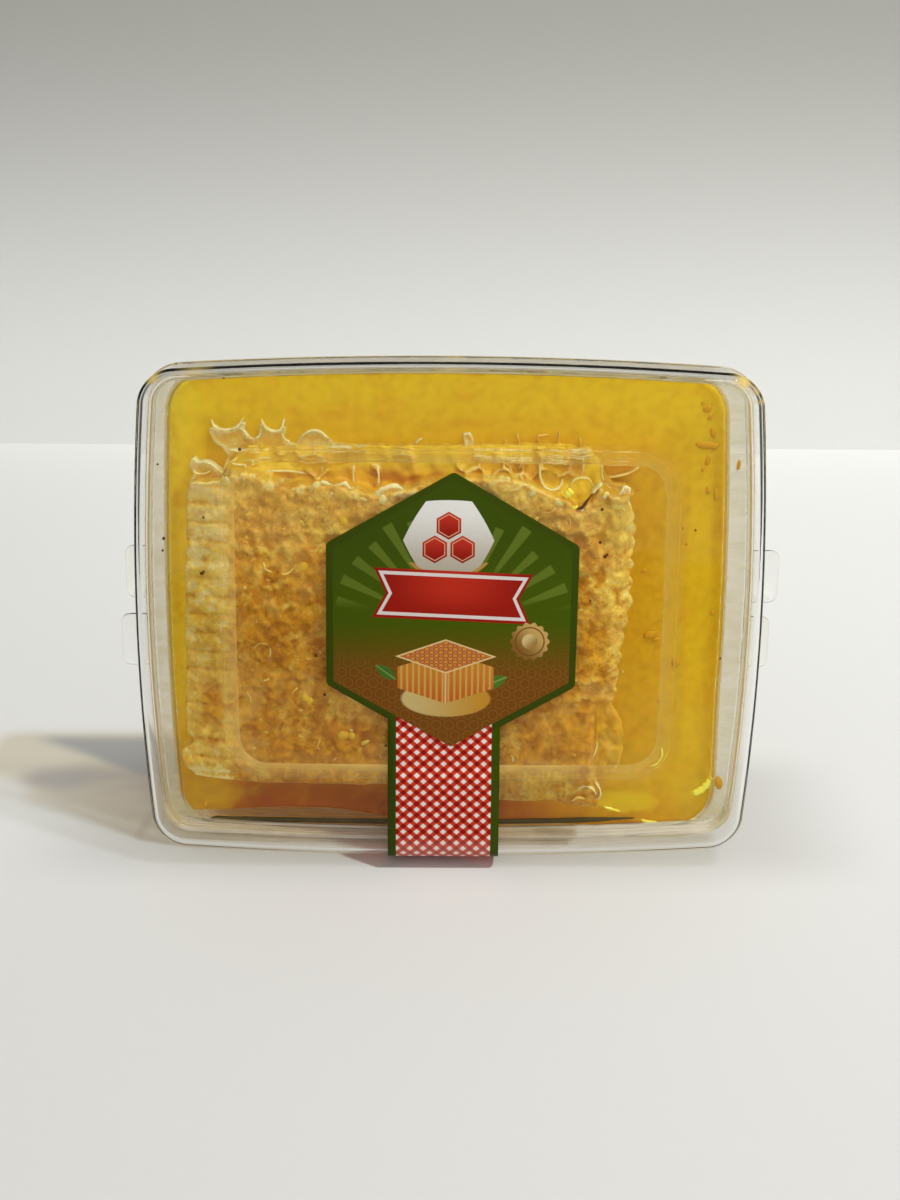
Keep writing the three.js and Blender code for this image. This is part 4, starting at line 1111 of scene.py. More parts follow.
def comb_material(name, dark, gold_tone, cream_a, cream_b, wet):
    g = Graph(name)
    p = g.object_mm()
    pale, hollow = g.attr("pale"), g.attr("hollow")
    big = g.noise(p, 0.06, 3.0, 0.6)
    mid = g.noise(p, 0.30, 4.0, 0.62, 0.8)
    fine = g.noise(p, 1.3, 4.0, 0.65, 0.4)
    chips = g.node("ShaderNodeTexVoronoi", feature="F1")
    wob = g.node("ShaderNodeVectorMath", operation="ADD")
    g.put(wob.inputs[0], p)
    g.put(wob.inputs[1], g.vec((fine - 0.5) * 1.6, (mid - 0.5) * 3.0, (fine - 0.5) * 1.6))
    g.nt.links.new(wob.outputs[0], chips.inputs["Vector"])
    chips.inputs["Scale"].default_value = 0.62
    chip = g.xyz(Sock(g, chips.outputs["Color"]))[0]
    gold = g.mix(g.ramp01(mid, 0.34, 0.66), dark, gold_tone)
    cream = g.mix(g.ramp01(fine, 0.3, 0.75), cream_a, cream_b)
    patch = g.noise(p, 0.13, 2.0, 0.5, 0.6)
    grain = g.noise(p, 2.0, 3.0, 0.6)
    px, _, pz = g.xyz(p)
    coarse = g.ramp01(px, -56.0, -52.0)
    calm = (coarse * 0.45 + 0.55) * (1.0 - g.ramp01(px, 16.0, 30.0) * 0.35)
    k = pale * 1.10 + ((mid - 0.5) * 0.65 + (big - 0.5) * 1.1 + (patch - 0.5) * 1.3) * calm + (fine - 0.5) * (coarse * 0.45 + 0.15) + g.ramp01(chip, 0.72, 0.98) * 0.22 * coarse
    body = g.mix(g.ramp01(k, 0.10, 1.05), gold, cream)
    body = g.mix(g.math("MULTIPLY", g.ramp01(hollow, 0.05, 0.9), 0.75), body, wet)
    white = g.ramp01(pale + (fine - 0.5) * 0.5, 0.72, 1.1)
    body = g.mix(white * 0.75, body, cream_b if wet[1] > 0.45 else (0.99, 0.88, 0.45))
    # painted shade and light: the face is darker low down and lighter higher up and towards the right, as the lamp
    # falls from above
    up = g.mx(g.ramp01(pz + g.ramp01(px, 20.0, 46.0) * 30.0, 2.0, 88.0), (1.0 - coarse) * 0.85)
    body = g.blend("MULTIPLY", 1.0, body, g.mix(up, (0.80, 0.77, 0.66), (1.0, 1.0, 1.0)))
    # paler along the top, deeper in the middle of the left half
    middle = g.ramp01(g.ab(pz - 56.0), 22.0, 2.0) * g.ramp01(px, -14.0, -26.0)
    body = g.blend("MULTIPLY", middle, body, (0.89, 0.87, 0.84))
    body = g.mix(g.ramp01(pz, 76.0, 90.0) * (0.28 if wet[1] < 0.45 else 0.0), body, (1.0, 0.70, 0.17))
    # a milky film of wax over part of the face
    film = g.ramp01(g.noise(p, 0.085, 2.0, 0.5, 0.9), 0.50, 0.66) * (0.34 if wet[1] < 0.45 else 0.0)
    body = g.mix(film, body, (0.84, 0.56, 0.13))
    # browner chips of old wax
    spot = g.ramp01(g.noise(p, 0.42, 3.0, 0.7), 0.64, 0.76) + g.ramp01(chip, 0.16, 0.05) * 0.6
    body = g.mix(spot * 0.42, body, (0.52, 0.19, 0.012))
    body = g.blend("MULTIPLY", coarse * (0.6 if wet[1] < 0.45 else 0.0), body, g.mix(g.ramp01(grain, 0.30, 0.56), (0.76, 0.66, 0.52), (1.0, 1.0, 1.0)))
    body = g.blend("MULTIPLY", 1.0, body, g.mix(g.ramp01(px, 20.0, 42.0), (0.90, 0.87, 0.80), (1.0, 1.0, 1.0)))
    # honey that fills the torn cells
    pool = g.mix(g.ramp01(patch + (mid - 0.5) * 0.5, 0.40, 0.60), (0.56, 0.195, 0.003), (0.76, 0.40, 0.006))
    pool = g.mix(g.ramp01(px, -22.0, -42.0) * 0.7, pool, (0.84, 0.56, 0.055))
    pool = g.mix(g.mx(g.ramp01(pz, TORN_Z - 3.0, TORN_Z + 1.0), g.ramp01(px, 14.0, 26.0)) * 0.75, pool, (0.84, 0.60, 0.020))
    body = g.mix(g.attr("honeyed"), body, pool)
    body = g.blend("MULTIPLY", g.mn(g.attr("steep"), 1.0), body, (0.80, 0.82, 0.50))
    body = g.blend("MULTIPLY", g.ramp01(g.attr("steep"), 1.0, 1.9), body, (0.84, 0.68, 0.50))
    bump = g.bump(fine * 0.7 + g.noise(p, 4.0, 3.0, 0.6) * 0.3, 0.5, 0.0004)
    s = g.principled(Base_Color=body, Roughness=g.ramp01(fine, 0.2, 0.9) * 0.25 + 0.22, Normal=bump)
    s.inputs["Subsurface Weight"].default_value = 0.45
    s.inputs["Subsurface Radius"].default_value = (1.0, 0.5, 0.12)
    s.inputs["Subsurface Scale"].default_value = 0.0024
    s.inputs["Coat Weight"].default_value = 0.06
    s.inputs["Coat Roughness"].default_value = 0.12
    s.inputs["Specular IOR Level"].default_value = 0.18
    s.inputs["IOR"].default_value = 1.44
    return g.surface(g.lit_through(s.outputs[0], (0.80, 0.73, 0.58)))


# ------------------------------------------------------------------ honey
def honey_low(x):
    """Where the honey's front ends below: it stops short on the left, over a pocket of air."""
    return -54.3 - 3.6 * sstep(-34, 6, x) + 0.5 * np.sin(x * 0.12)


def honey_front(grow, cells=0):
    p = tray_outline(grow).copy()
    low = honey_low(p[:, 0]) + (-grow - 0.4) * -1.0 * 0
    lift = np.clip(low - grow * 0.0 - p[:, 1], 0, None) * (p[:, 1] < -30)
    p[:, 1] += lift
    return p


def make_honey(mat):
    back = TRAY_BACK_Y - TRAY_WALL + 0.35
    rings = []
    full = tray_outline(0.42)
    # back and sides reach just into the tray's wall
    rings.append((back, tray_outline(-7.0)))
    rings.append((back, tray_outline(-2.0)))
    rings.append((back - 0.5, tray_outline(-0.1)))
    for y in (back - 1.6, 30.0, 27.0, 24.0, 21.0, 18.5):
        k = sstep(33, 16, y) * 0 + (1 - sstep(15.5, 30, y))
        q = full.copy()
        lift = np.clip(honey_low(q[:, 0]) - q[:, 1], 0, None) * (q[:, 1] < -30) * k
        q[:, 1] += lift
        rings.append((y, q))
    front = honey_front(0.42)
    rings.append((HONEY_Y + 1.2, front))
    rings.append((HONEY_Y + 0.2, front))
    c = np.array([0.0, 0.6])
    steps = 34
    for i in range(steps):
        s = 1 - ((i + 0.35) / steps) ** 1.25
        if i == 0:
            s = 0.9965
        q = c + (front - c) * s
        edge = (1 - s) * 70
        y = HONEY_Y - 0.55 * np.exp(-edge / 1.6) + 0.30 * (fbm(q[:, 0] * 0.07, q[:, 1] * 0.07, 81, 3) - 0.5) * min(1, edge / 4)
        rings.append((y, q))
    V, F = loft(rings)
    return outward(make("honey_fill", V, F, [mat]))


def honey_material():
    g = Graph("honey")
    p = g.object_mm()
    px, py, pz = g.xyz(p)
    slow = g.noise(p, 0.03, 3.0, 0.5)
    haze = g.noise(g.stretch(p, (1.0, 1.0, 1.6)), 0.11, 4.0, 0.6, 0.8)
    bump = g.bump(slow + haze * 0.15, 0.25, 0.0006)
    # cloudy body colour, with painted light and shade: brighter at the top where light falls in from above, browner
    # low down as painted shade under the comb, greener at the sides where light comes through from behind
    side = g.mx(g.ramp01(g.ab(px - 1.0), 47.0, 60.0), g.ramp01(pz, 104.0, 118.0))
    body = g.mix(side, (0.97, 0.605, 0.010), (0.90, 0.61, 0.010))
    high = g.ramp01(pz, 98.0, 120.0)
    body = g.mix(high, body, (1.0, 0.74, 0.012))
    body = g.mix(g.ramp01(px, 28.0, 42.0) * g.ramp01(pz, 108.0, 92.0) * (1.0 - side * 0.75), body, (0.80, 0.49, 0.008))
    body = g.mix(g.ramp01(px, -50.0, -58.0) * g.ramp01(pz, 108.0, 92.0), body, (0.97, 0.54, 0.014))
    # painted light: the narrow strip left of the comb, which the comb shades from the lamp, is made brighter
    body = g.mix(g.ramp01(px, -60.0, -68.0) * 0.7, body, (1.0, 0.80, 0.05))
    # painted shade: darker and browner low down, under the comb
    low = g.ramp01(pz + g.ramp01(px, 4.0, 48.0) * 22.0, 10.0, 40.0)
    body = g.mix(low, g.mix(g.ramp01(px + (haze - 0.5) * 30.0 - (pz - 14.0) * 0.5, -49.0, -60.0), g.mix(g.ramp01(px, 6.0, 26.0), (0.42, 0.095, 0.002), (0.56, 0.18, 0.003)), (0.74, 0.42, 0.012)), body)
    body = g.mix(g.ramp01(haze, 0.46, 0.74) * 0.34, body, (0.84, 0.36, 0.006))
    curd = g.noise(p, 0.42, 4.0, 0.62, 0.5)
    body = g.blend("MULTIPLY", 1.0, body, g.mix(g.ramp01(curd, 0.30, 0.62), (0.84, 0.82, 0.72), (1.0, 1.0, 1.0)))
    # painted light: a bright yellow patch low down on the right, where light comes through the thick honey
    pool_x, pool_z = (px - 47.0) * (1 / 10.5) + (haze - 0.5) * 2.2, (pz - 11.0) * (1 / 3.4) + (curd - 0.5) * 1.6
    body = g.mix(g.ramp01(pool_x * pool_x + pool_z * pool_z, 1.1, 0.1) * 0.5, body, (1.0, 0.86, 0.02))
    cloud = g.principled(Base_Color=body, Roughness=0.25, Normal=bump)
    cloud.inputs["Subsurface Weight"].default_value = 0.6
    cloud.inputs["Subsurface Radius"].default_value = (1.0, 0.5, 0.08)
    cloud.inputs["Subsurface Scale"].default_value = 0.004
    cloud.inputs["Specular IOR Level"].default_value = 0.12
    clear = g.node("ShaderNodeBsdfRefraction")
    clear.inputs["IOR"].default_value = 1.49
    g.put(clear.inputs["Color"], g.mix(side, (0.97, 0.66, 0.12), (0.97, 0.80, 0.13)))
    g.put(clear.inputs["Roughness"], 0.0)
    g.put(clear.inputs["Normal"], bump)
    gloss = g.node("ShaderNodeBsdfGlossy")
    g.put(gloss.inputs["Color"], (1.0, 0.95, 0.8))
    g.put(gloss.inputs["Roughness"], 0.03)
    g.put(gloss.inputs["Normal"], bump)
    fres = g.node("ShaderNodeFresnel")
    fres.inputs["IOR"].default_value = 1.49
    g.put(fres.inputs["Normal"], bump)
    liquid = g.shader_mix(g.math("POWER", Sock(g, fres.outputs[0]), 1.5), clear.outputs[0], gloss.outputs[0])
    mixed = g.shader_mix(g.mix_value(side, 0.80, 0.60), liquid, cloud.outputs[0])
    through = g.node("ShaderNodeBsdfTransparent")
    g.put(through.inputs["Color"], (0.86, 0.80, 0.62))
    return g.surface(g.shader_mix(g.lamp_ray(), mixed, through.outputs[0]))


# ------------------------------------------------------------------ labels
def band_path():
    """The film's outer face from the hexagon down, under the pack and up the back: (y, z)."""
    out = []
    off = 0.05 + FILM * 0.8
    zc, R = -(HALF_H - LID_DRAFT - FACE_R), FACE_R + off
    z_in, z_out = PANEL_Z - PANEL_HH, PANEL_Z - PANEL_HH - PANEL_SLOPE
    raw = [(PANEL_DEEP - off, -18.0), (PANEL_DEEP - off, z_in - 0.1), (-off, z_out - 0.35), (-off, zc)]
    out += fillet(raw, [0, 1.6, 1.4, 0], 6)
    for i in range(1, 13):
        a = i / 12 * (math.pi / 2 - 0.02)
        out.append((FACE_R - R * math.cos(a), zc - R * math.sin(a)))
    out.append((LID_FLANGE_Y - 0.5, -(HALF_H + 0.25)))
    n = (-math.sin(LEAN), -math.cos(LEAN))
    o2 = 0.44
    out.append((LID_FLANGE_Y + 0.2, -(HALF_H + LIP + 0.40)))
    a = (RIM_BACK_Y + n[0] * o2, -(HALF_H + LIP) + n[1] * o2)
    cy, cz = TRAY_BACK_Y - TRAY_EDGE_R, -(TRAY_HH + TRAY_WALL - TRAY_DRAFT) + TRAY_EDGE_R
    Rb = TRAY_EDGE_R + o2
    t0 = -math.pi / 2 - LEAN
    b = (cy + Rb * math.cos(t0), cz + Rb * math.sin(t0))
    for i in range(7):
        u = i / 6
        out.append((a[0] + (b[0] - a[0]) * u, a[1] + (b[1] - a[1]) * u))
    for i in range(1, 8):
        t = t0 + i / 7 * (math.pi / 2 + LEAN)
        out.append((cy + Rb * math.cos(t), cz + Rb * math.sin(t)))
    out.append((cy + Rb, cz + BAND_TAIL))
    return out


def hex_path(side, cx, cz, rot, r=1.6, steps=6):
    v = [(cx + side * math.cos(math.pi / 6 + i * math.pi / 3 + rot), cz + side * math.sin(math.pi / 6 + i * math.pi / 3 + rot)) for i in range(6)]
    out = []
    for i in range(6):
        p, a, b = np.array(v[i]), np.array(v[i - 1]), np.array(v[(i + 1) % 6])
        pts = fillet([tuple(a), tuple(p), tuple(b)], [0, r, 0], steps, 99)
        out += pts[1:-1]
    return out


def make_label(mat):
    """Hexagon and band as one film. Its flat coordinates are X and the length run along it, in mm."""
    yf, yb = PANEL_DEEP - 0.05 - FILM * 0.8, PANEL_DEEP - 0.05
    hexa = np.array(hex_path(HEX_SIDE, HEX_X, HEX_Z, HEX_TURN))
    parts, uvs = [], []
    V, F = plate_from(hexa, yf, yb, 0.06)
    parts.append((V, F))
    uvs.append(np.stack([V[:, 0], V[:, 2]], -1))
    path = np.array(band_path())
    run = np.concatenate([[0], np.cumsum(np.hypot(*np.diff(path, axis=0).T))])
    zrun = path[0, 1] - run
    # keep the band's flat start at the hexagon's height
    t = np.gradient(path, axis=0)
    t /= np.linalg.norm(t, axis=1)[:, None]
    nrm = np.stack([-t[:, 1], t[:, 0]], -1)  # towards the pack
    if nrm[0, 0] < 0:
        nrm = -nrm
    inner = path + nrm * FILM * 0.8
    x0, x1 = BAND_X - BAND_W / 2, BAND_X + BAND_W / 2
    cols = np.linspace(x0, x1, 9)
    m, n = len(path), len(cols)
    V, U = [], []
    for face in (path, inner):
        for k in range(m):
            for cx in cols:
                V.append((cx, face[k, 0], face[k, 1]))
                U.append((cx, zrun[k]))
    F = []
    idx = lambda s, k, i: (s * m + k) * n + i
    for k in range(m - 1):
        for i in range(n - 1):
            F.append((idx(0, k, i), idx(0, k, i + 1), idx(0, k + 1, i + 1), idx(0, k + 1, i)))
            F.append((idx(1, k, i + 1), idx(1, k, i), idx(1, k + 1, i), idx(1, k + 1, i + 1)))
        F.append((idx(0, k, 0), idx(0, k + 1, 0), idx(1, k + 1, 0), idx(1, k, 0)))
        F.append((idx(0, k + 1, n - 1), idx(0, k, n - 1), idx(1, k, n - 1), idx(1, k + 1, n - 1)))
    for k in (0, m - 1):
        for i in range(n - 1):
            q = (idx(0, k, i), idx(1, k, i), idx(1, k, i + 1), idx(0, k, i + 1))
            F.append(q if k == 0 else q[::-1])
    # the band's head goes under the hexagon by a hair, so that only one of them shows
    V = np.array(V)
    V[:, 1] += np.where(V[:, 2] > -36.5, 0.012, 0.0)
    parts.append((V, F))
    uvs.append(np.array(U))
    Vj, Fj = join_parts(parts)
    return outward(make("label_film", Vj, Fj, [mat], uv=np.concatenate(uvs)))


def label_material():
    g = Graph("label_print")
    x, z, _ = g.uv("mm")
    hx, hz = x - HEX_X, z - HEX_Z
    ax = g.ab(hx)

    def hexdist(dx, dz, inr, flat=False):
        a, b = (dz, dx) if flat else (dx, dz)
        a, b = g.ab(a), g.ab(b)
        return g.mx(a, a * 0.5 + b * 0.8660254) - inr

    def box(dx, dz, w, h, r=0.0):
        qx, qz = g.ab(dx) - (w - r), g.ab(dz) - (h - r)
        out = g.math("SQRT", g.math("POWER", g.mx(qx, 0.0), 2.0) + g.math("POWER", g.mx(qz, 0.0), 2.0))
        return out + g.mn(g.mx(qx, qz), 0.0) - r

    def circle(dx, dz, r):
        return g.math("SQRT", dx * dx + dz * dz) - r

    def rot(dx, dz, deg):
        c, s = math.cos(math.radians(deg)), math.sin(math.radians(deg))
        return dx * c + dz * s, dz * c - dx * s

    inner = hexdist(hx, hz, HEX_SIDE * 0.8660254 - 1.7)
    # ---- gingham of the band, turned by 45 degrees
    bx = x - BAND_X
    u = bx / 3.33 + z / 2.96
    v = bx / 3.33 - z / 2.96
    su = g.inside(g.ab(g.frac(u) - 0.5) - 0.245, 0.10)
    sv = g.inside(g.ab(g.frac(v) - 0.5) - 0.245, 0.10)
    weave = g.mix(g.mx(su, sv), (0.33, 0.004, 0.0015), (0.60, 0.045, 0.014))
    col = g.mix(su * sv, weave, (0.88, 0.79, 0.74))
    # painted highlight: the band is paler low down, where it bends round the lower edge
    col = g.mix(g.ramp01(z, -55.0, -61.0) * 0.16, col, (0.95, 0.72, 0.62))
    green = (0.045, 0.070, 0.001)
    edge = g.inside(BAND_W / 2 - 2.05 - g.ab(bx))
    col = g.mix(edge, col, green)
    # ---- hexagon's field
    in_hex_zone = g.inside(-16.9 - z)  # above the band's shoulders the outside of the field is border
    border = g.mx(g.inside(g.mn(inner, 1.0) * -1.0), 0.0)
    field = g.mix(g.ramp01(z, 1.0, 24.0), (0.066, 0.106, 0.001), (0.048, 0.082, 0.001))
    field = g.mix(g.ramp01(z, 1.0, -17.0), field, (0.215, 0.074, 0.004))
    # rays from below the middle
    rx, rz = x - 0.5, z + 3.0
    ang = g.math("ARCTAN2", rz, rx)
    rad = g.math("SQRT", rx * rx + rz * rz)
    ray = g.frac(ang * (1 / math.radians(11.0)) + 0.5)
    width = g.ramp01(rad, 12.0, 34.0) * 0.10 + 0.13
    rays = g.inside(g.ab(ray - 0.5) - width, 0.06) * g.ramp01(rad, 17.0, 19.5) * g.ramp01(z, 2.0, 6.0)
    cut = g.noise(g.vec(g.math("FLOOR", ang * (1 / math.radians(11.0)) + 0.5), 0.0, 0.0), 1.7, 0.0)
    rays = rays * g.inside(rad - (cut * 9.0 + 24.5), 0.3)
    field = g.mix(rays * 0.62, field, (0.17, 0.23, 0.025))
    # dotted comb pattern, faint, in the lower field
    hu = x / 3.1
    hv = z / 5.37
    c1 = circle((g.frac(hu) - 0.5) * 3.1, (g.frac(hv) - 0.5) * 5.37, 1.15)
    c2 = circle((g.frac(hu + 0.5) - 0.5) * 3.1, (g.frac(hv + 0.5) - 0.5) * 5.37, 1.15)
    ringy = g.inside(g.ab(g.mn(c1, c2)) - 0.14) * g.ramp01(z, -6.0, -14.0)
    field = g.mix(ringy * 0.18, field, (0.42, 0.24, 0.09))
    # ---- emblem: a pale rounded hexagon with three red cells in it
    ex, ez = x + 0.4, z - 19.6
    shell = hexdist(ex, ez, 9.6, True) * 0.8 + circle(ex, ez, 10.6) * 0.2
    field = g.mix(g.inside(shell), field, g.mix(g.ramp01(ez, -9.0, 9.0), (0.50, 0.44, 0.33), (0.86, 0.85, 0.80)))
    for cx, cz in ((0.0, 3.6), (-3.35, -2.2), (3.35, -2.2)):
        cell = hexdist(ex - cx, ez - cz, 2.95)
        tone = g.mix(g.ramp01(ez - cz, -3.2, 3.2), (0.30, 0.008, 0.004), (0.58, 0.035, 0.018))
        field = g.mix(g.inside(cell), field, tone)
        field = g.mix(g.inside(g.ab(cell + 0.55) - 0.12), field, (0.72, 0.40, 0.22))
    gold_arc = g.mx(g.ab(circle(ex, ez - 3.0, 12.4)) - 0.42, ez + 5.4)
    field = g.mix(g.inside(gold_arc), field, (0.50, 0.27, 0.055))
    # ---- red banner, left plain, with a pale line inside it
    rx2, rz2 = rot(x - 0.6, z - 5.9, -2.4)
    notch = g.mx(g.ab(rx2) - 18.6 + (g.ab(rz2) * -0.42), g.ab(rz2) - 6.2)
    notch = g.mx(g.ab(rx2) + g.ab(rz2) * -0.5 - 16.2, g.ab(rz2) - 6.2)
    redtone = g.mix(g.ramp01(g.ab(rx2), 0.0, 19.0), (0.56, 0.030, 0.012), (0.33, 0.010, 0.004))
    redtone = g.mix(g.ramp01(rz2, -6.0, 2.0), (0.36, 0.012, 0.005), redtone)
    field = g.mix(g.inside(notch), field, redtone)
    field = g.mix(g.inside(g.ab(notch + 1.15) - 0.42), field, (0.80, 0.74, 0.70))
    # ---- gold disc with a scalloped rim, on the right
    gx, gz = x - 19.6, z + 5.4
    ga = g.math("ARCTAN2", gz, gx)
    gr = g.math("SQRT", gx * gx + gz * gz)
    scal = gr - 4.6 - g.math("COSINE", ga * 14.0) * 0.28
    gold = g.mix(g.ramp01(gx + gz, -5.0, 5.0), (0.26, 0.12, 0.02), (0.62, 0.40, 0.12))
    field = g.mix(g.inside(scal), field, gold)
    field = g.mix(g.inside(g.ab(gr - 3.5) - 0.16), field, (0.20, 0.08, 0.012))
    field = g.mix(g.inside(gr - 1.9), field, g.mix(g.ramp01(gx - gz, -2.0, 2.0), (0.72, 0.55, 0.24), (0.40, 0.22, 0.05)))
    # ---- a drawn block of comb with leaves beside it, in plain shapes
    lx, lz = rot(x - 10.8, z + 15.9, 24.0)
    leaf = g.mx(circle(lx, lz + 3.4, 5.0), circle(lx, lz - 3.4, 5.0))
    field = g.mix(g.inside(leaf), field, g.mix(g.inside(g.ab(lz) - 0.18), (0.085, 0.20, 0.022), (0.24, 0.36, 0.08)))
    lx, lz = rot(x + 15.6, z + 13.4, -36.0)
    leaf = g.mx(circle(lx, lz + 3.0, 4.3), circle(lx, lz - 3.0, 4.3))
    field = g.mix(g.inside(leaf), field, g.mix(g.inside(g.ab(lz) - 0.16), (0.065, 0.17, 0.02), (0.20, 0.32, 0.07)))
    pool = circle((x + 0.8) * 0.42, z + 20.1, 4.6)
    field = g.mix(g.inside(pool, 0.3), field, g.mix(g.ramp01(x, -12.0, 10.0), (0.66, 0.52, 0.20), (0.60, 0.30, 0.03)))
    tx, tz = rot(x + 0.9, z + 9.9, 0.0)
    top = g.ab(tx) * 0.36 + g.ab(tz) - 4.6
    topface = g.mx(top, g.ab(tx) - 12.4)
    front = g.mx(g.mx(g.ab(tx) - 11.6, -4.6 + 0.0 - (tz + 9.4) * 1.0), (tz + 0.9 + 0.0) - (4.0 - g.ab(tx) * 0.36) * -1.0 * 0.0)
    block = g.mx(g.ab(tx) - 11.8, g.ab(tz + 4.8) - (6.6 - g.ab(tx) * 0.33))
    amber = g.mix(g.ramp01(tz, -11.0, -2.0), (0.55, 0.14, 0.012), (0.62, 0.24, 0.022))
    ribs = g.inside(g.ab(g.frac(tx / 1.45) - 0.5) - 0.16, 0.2)
    amber = g.mix(ribs * 0.7, amber, (0.78, 0.50, 0.15))
    amber = g.mix(g.inside(g.ab(tx) - 0.22), amber, (0.80, 0.58, 0.24))
    field = g.mix(g.inside(block), field, amber)
    upper = g.ab(tx) * 0.35 + g.ab(tz - 0.6) * 1.0 - 4.15
    cu, cv = tx / 2.3, tz / 1.62
    d1 = circle((g.frac(cu) - 0.5) * 2.3, (g.frac(cv) - 0.5) * 2.3, 0.72)
    d2 = circle((g.frac(cu + 0.5) - 0.5) * 2.3, (g.frac(cv + 0.5) - 0.5) * 2.3, 0.72)
    comb_top_tone = g.mix(g.inside(g.mn(d1, d2), 0.25), (0.70, 0.33, 0.05), (0.42, 0.055, 0.006))
    comb_top_tone = g.mix(g.inside(g.ab(g.mn(d1, d2) + 0.45) - 0.12, 0.2) * 0.6, comb_top_tone, (0.85, 0.55, 0.25))
    field = g.mix(g.inside(upper), field, comb_top_tone)
    field = g.mix(g.inside(g.ab(upper) - 0.2), field, (0.82, 0.60, 0.26))
    # ---- putting it together
    lower = g.mx(g.inside(z + 17.0 + 0.0), g.inside(g.ab(bx) - BAND_W / 2))
    rim_zone = g.inside(inner * -1.0)  # outside the inner hexagon
    is_band = g.inside(g.ab(bx) - (BAND_W / 2)) * g.inside(z + 14.0) * rim_zone
    outside_col = g.mix(is_band, green, col)
    col = g.mix(rim_zone, field, outside_col)
    mottle = g.noise(g.vec(x, z, 0.0), 0.9, 3.0, 0.6)
    col = g.blend("MULTIPLY", 0.35, col, g.mix(mottle, (0.82, 0.82, 0.82), (1.12, 1.12, 1.12)))
    scratch = g.noise(g.stretch(g.vec(x, z, 0.0), (0.25, 2.2, 1.0)), 1.1, 4.0, 0.7, 1.5)
    height = g.noise(g.vec(x, z, 0.0), 0.06, 2.0, 0.5) + g.ramp01(scratch, 0.70, 0.80) * 0.02
    bump = g.bump(height, 0.3, 0.0006)
    s = g.principled(Base_Color=col, Roughness=g.ramp01(scratch, 0.4, 0.8) * 0.15 + 0.24, Normal=bump)
    s.inputs["IOR"].default_value = 1.45
    s.inputs["Specular IOR Level"].default_value = 0.09
    t = g.node("ShaderNodeBsdfTranslucent")
    g.put(t.inputs["Color"], col)
    return g.surface(g.lit_through(g.shader_mix(0.14, s.outputs[0], t.outputs[0]), (0.45, 0.11, 0.08)))


def make_back_label(mat):
    r, pts = 3.0, []
    for cx, cz, q in ((BACK_HW - r, BACK_Z1 - r, 0), (-(BACK_HW - r), BACK_Z1 - r, 1), (-(BACK_HW - r), BACK_Z0 + r, 2), (BACK_HW - r, BACK_Z0 + r, 3)):
        for i in range(9):
            t = (q + i / 8) * math.pi / 2
            pts.append((cx + r * math.cos(t), cz + r * math.sin(t)))
    V, F = plate_from(pts, TRAY_BACK_Y + 0.05, TRAY_BACK_Y + 0.05 + FILM, 0.06)
    return outward(make("back_label_film", V, F, [mat], uv=np.stack([V[:, 0], V[:, 2]], -1), attrs={"outer": (V[:, 1] > TRAY_BACK_Y + 0.16).astype(float)}))


def back_label_material():
    g = Graph("back_label_print")
    x, z, _ = g.uv("mm")
    outer = g.ramp01(g.attr("outer"), 0.4, 0.6)
    d = g.mx(g.ab(x) - 56.0, g.ab(z) - 41.0)
    paper = g.noise(g.vec(x, z, 0.0), 0.8, 4.0, 0.6)
    cream = g.mix(paper, (0.74, 0.68, 0.50), (0.82, 0.77, 0.60))
    green = g.mix(paper, (0.016, 0.070, 0.012), (0.026, 0.10, 0.018))
    col = g.mix(g.inside(d), green, cream)
    u, v = x / 3.33 + z / 2.96, x / 3.33 - z / 2.96
    su = g.inside(g.ab(g.frac(u) - 0.5) - 0.245, 0.10)
    sv = g.inside(g.ab(g.frac(v) - 0.5) - 0.245, 0.10)
    weave = g.mix(g.mx(su, sv), (0.33, 0.004, 0.0015), (0.60, 0.045, 0.014))
    check = g.mix(su * sv, weave, (0.90, 0.84, 0.84))
    col = g.mix(g.inside(g.mx(g.ab(x) - 56.0, g.ab(z + 33.0) - 6.0)), col, check)
    a, b = g.ab(x), g.ab(z - 8.0)
    hexa = g.mx(a, a * 0.5 + b * 0.8660254) - 20.0
    col = g.mix(g.inside(g.ab(hexa) - 0.8), col, (0.55, 0.33, 0.06))
    ins = g.mix(paper, (0.80, 0.80, 0.77), (0.90, 0.90, 0.87))
    col = g.mix(outer, ins, col)
    bump = g.bump(paper, 0.2, 0.0003)
    s = g.principled(Base_Color=col, Roughness=g.ramp01(paper, 0.2, 0.8) * 0.1 + 0.35, Normal=bump)
    return g.surface(s.outputs[0])


# ------------------------------------------------------------------ small things
def blob(cx, cy, cz, r, seed, flat=1.0, res=10, long=1.0, turn_by=0.0):
    """An uneven round lump, flattened in Y and drawn out in X, Z."""
    V, F = [], []
    n = 2 * res
    c, s = math.cos(turn_by), math.sin(turn_by)
    for i in range(res + 1):
        for j in range(1 if i in (0, res) else n):
            th, ph = math.pi * i / res, math.pi * j / res
            d = np.array([math.sin(th) * math.cos(ph), math.cos(th), math.sin(th) * math.sin(ph)])
            k = r * (1 + 0.35 * (float(noise(d[0] * 1.7 + seed, d[2] * 1.7 + d[1], seed)) - 0.5))
            a, b = k * d[0] * long, k * d[2]
            V.append((cx + a * c - b * s, cy + k * flat * d[1], cz + a * s + b * c))
    idx = lambda i, j: 0 if i == 0 else (len(V) - 1 if i == res else 1 + (i - 1) * n + j % n)
    for i in range(res):
        for j in range(n):
            q = [idx(i, j), idx(i, j + 1), idx(i + 1, j + 1), idx(i + 1, j)]
            q = [a for k, a in enumerate(q) if a not in q[:k]]
            if len(q) >= 3:
                F.append(tuple(q))
    return np.array(V), F


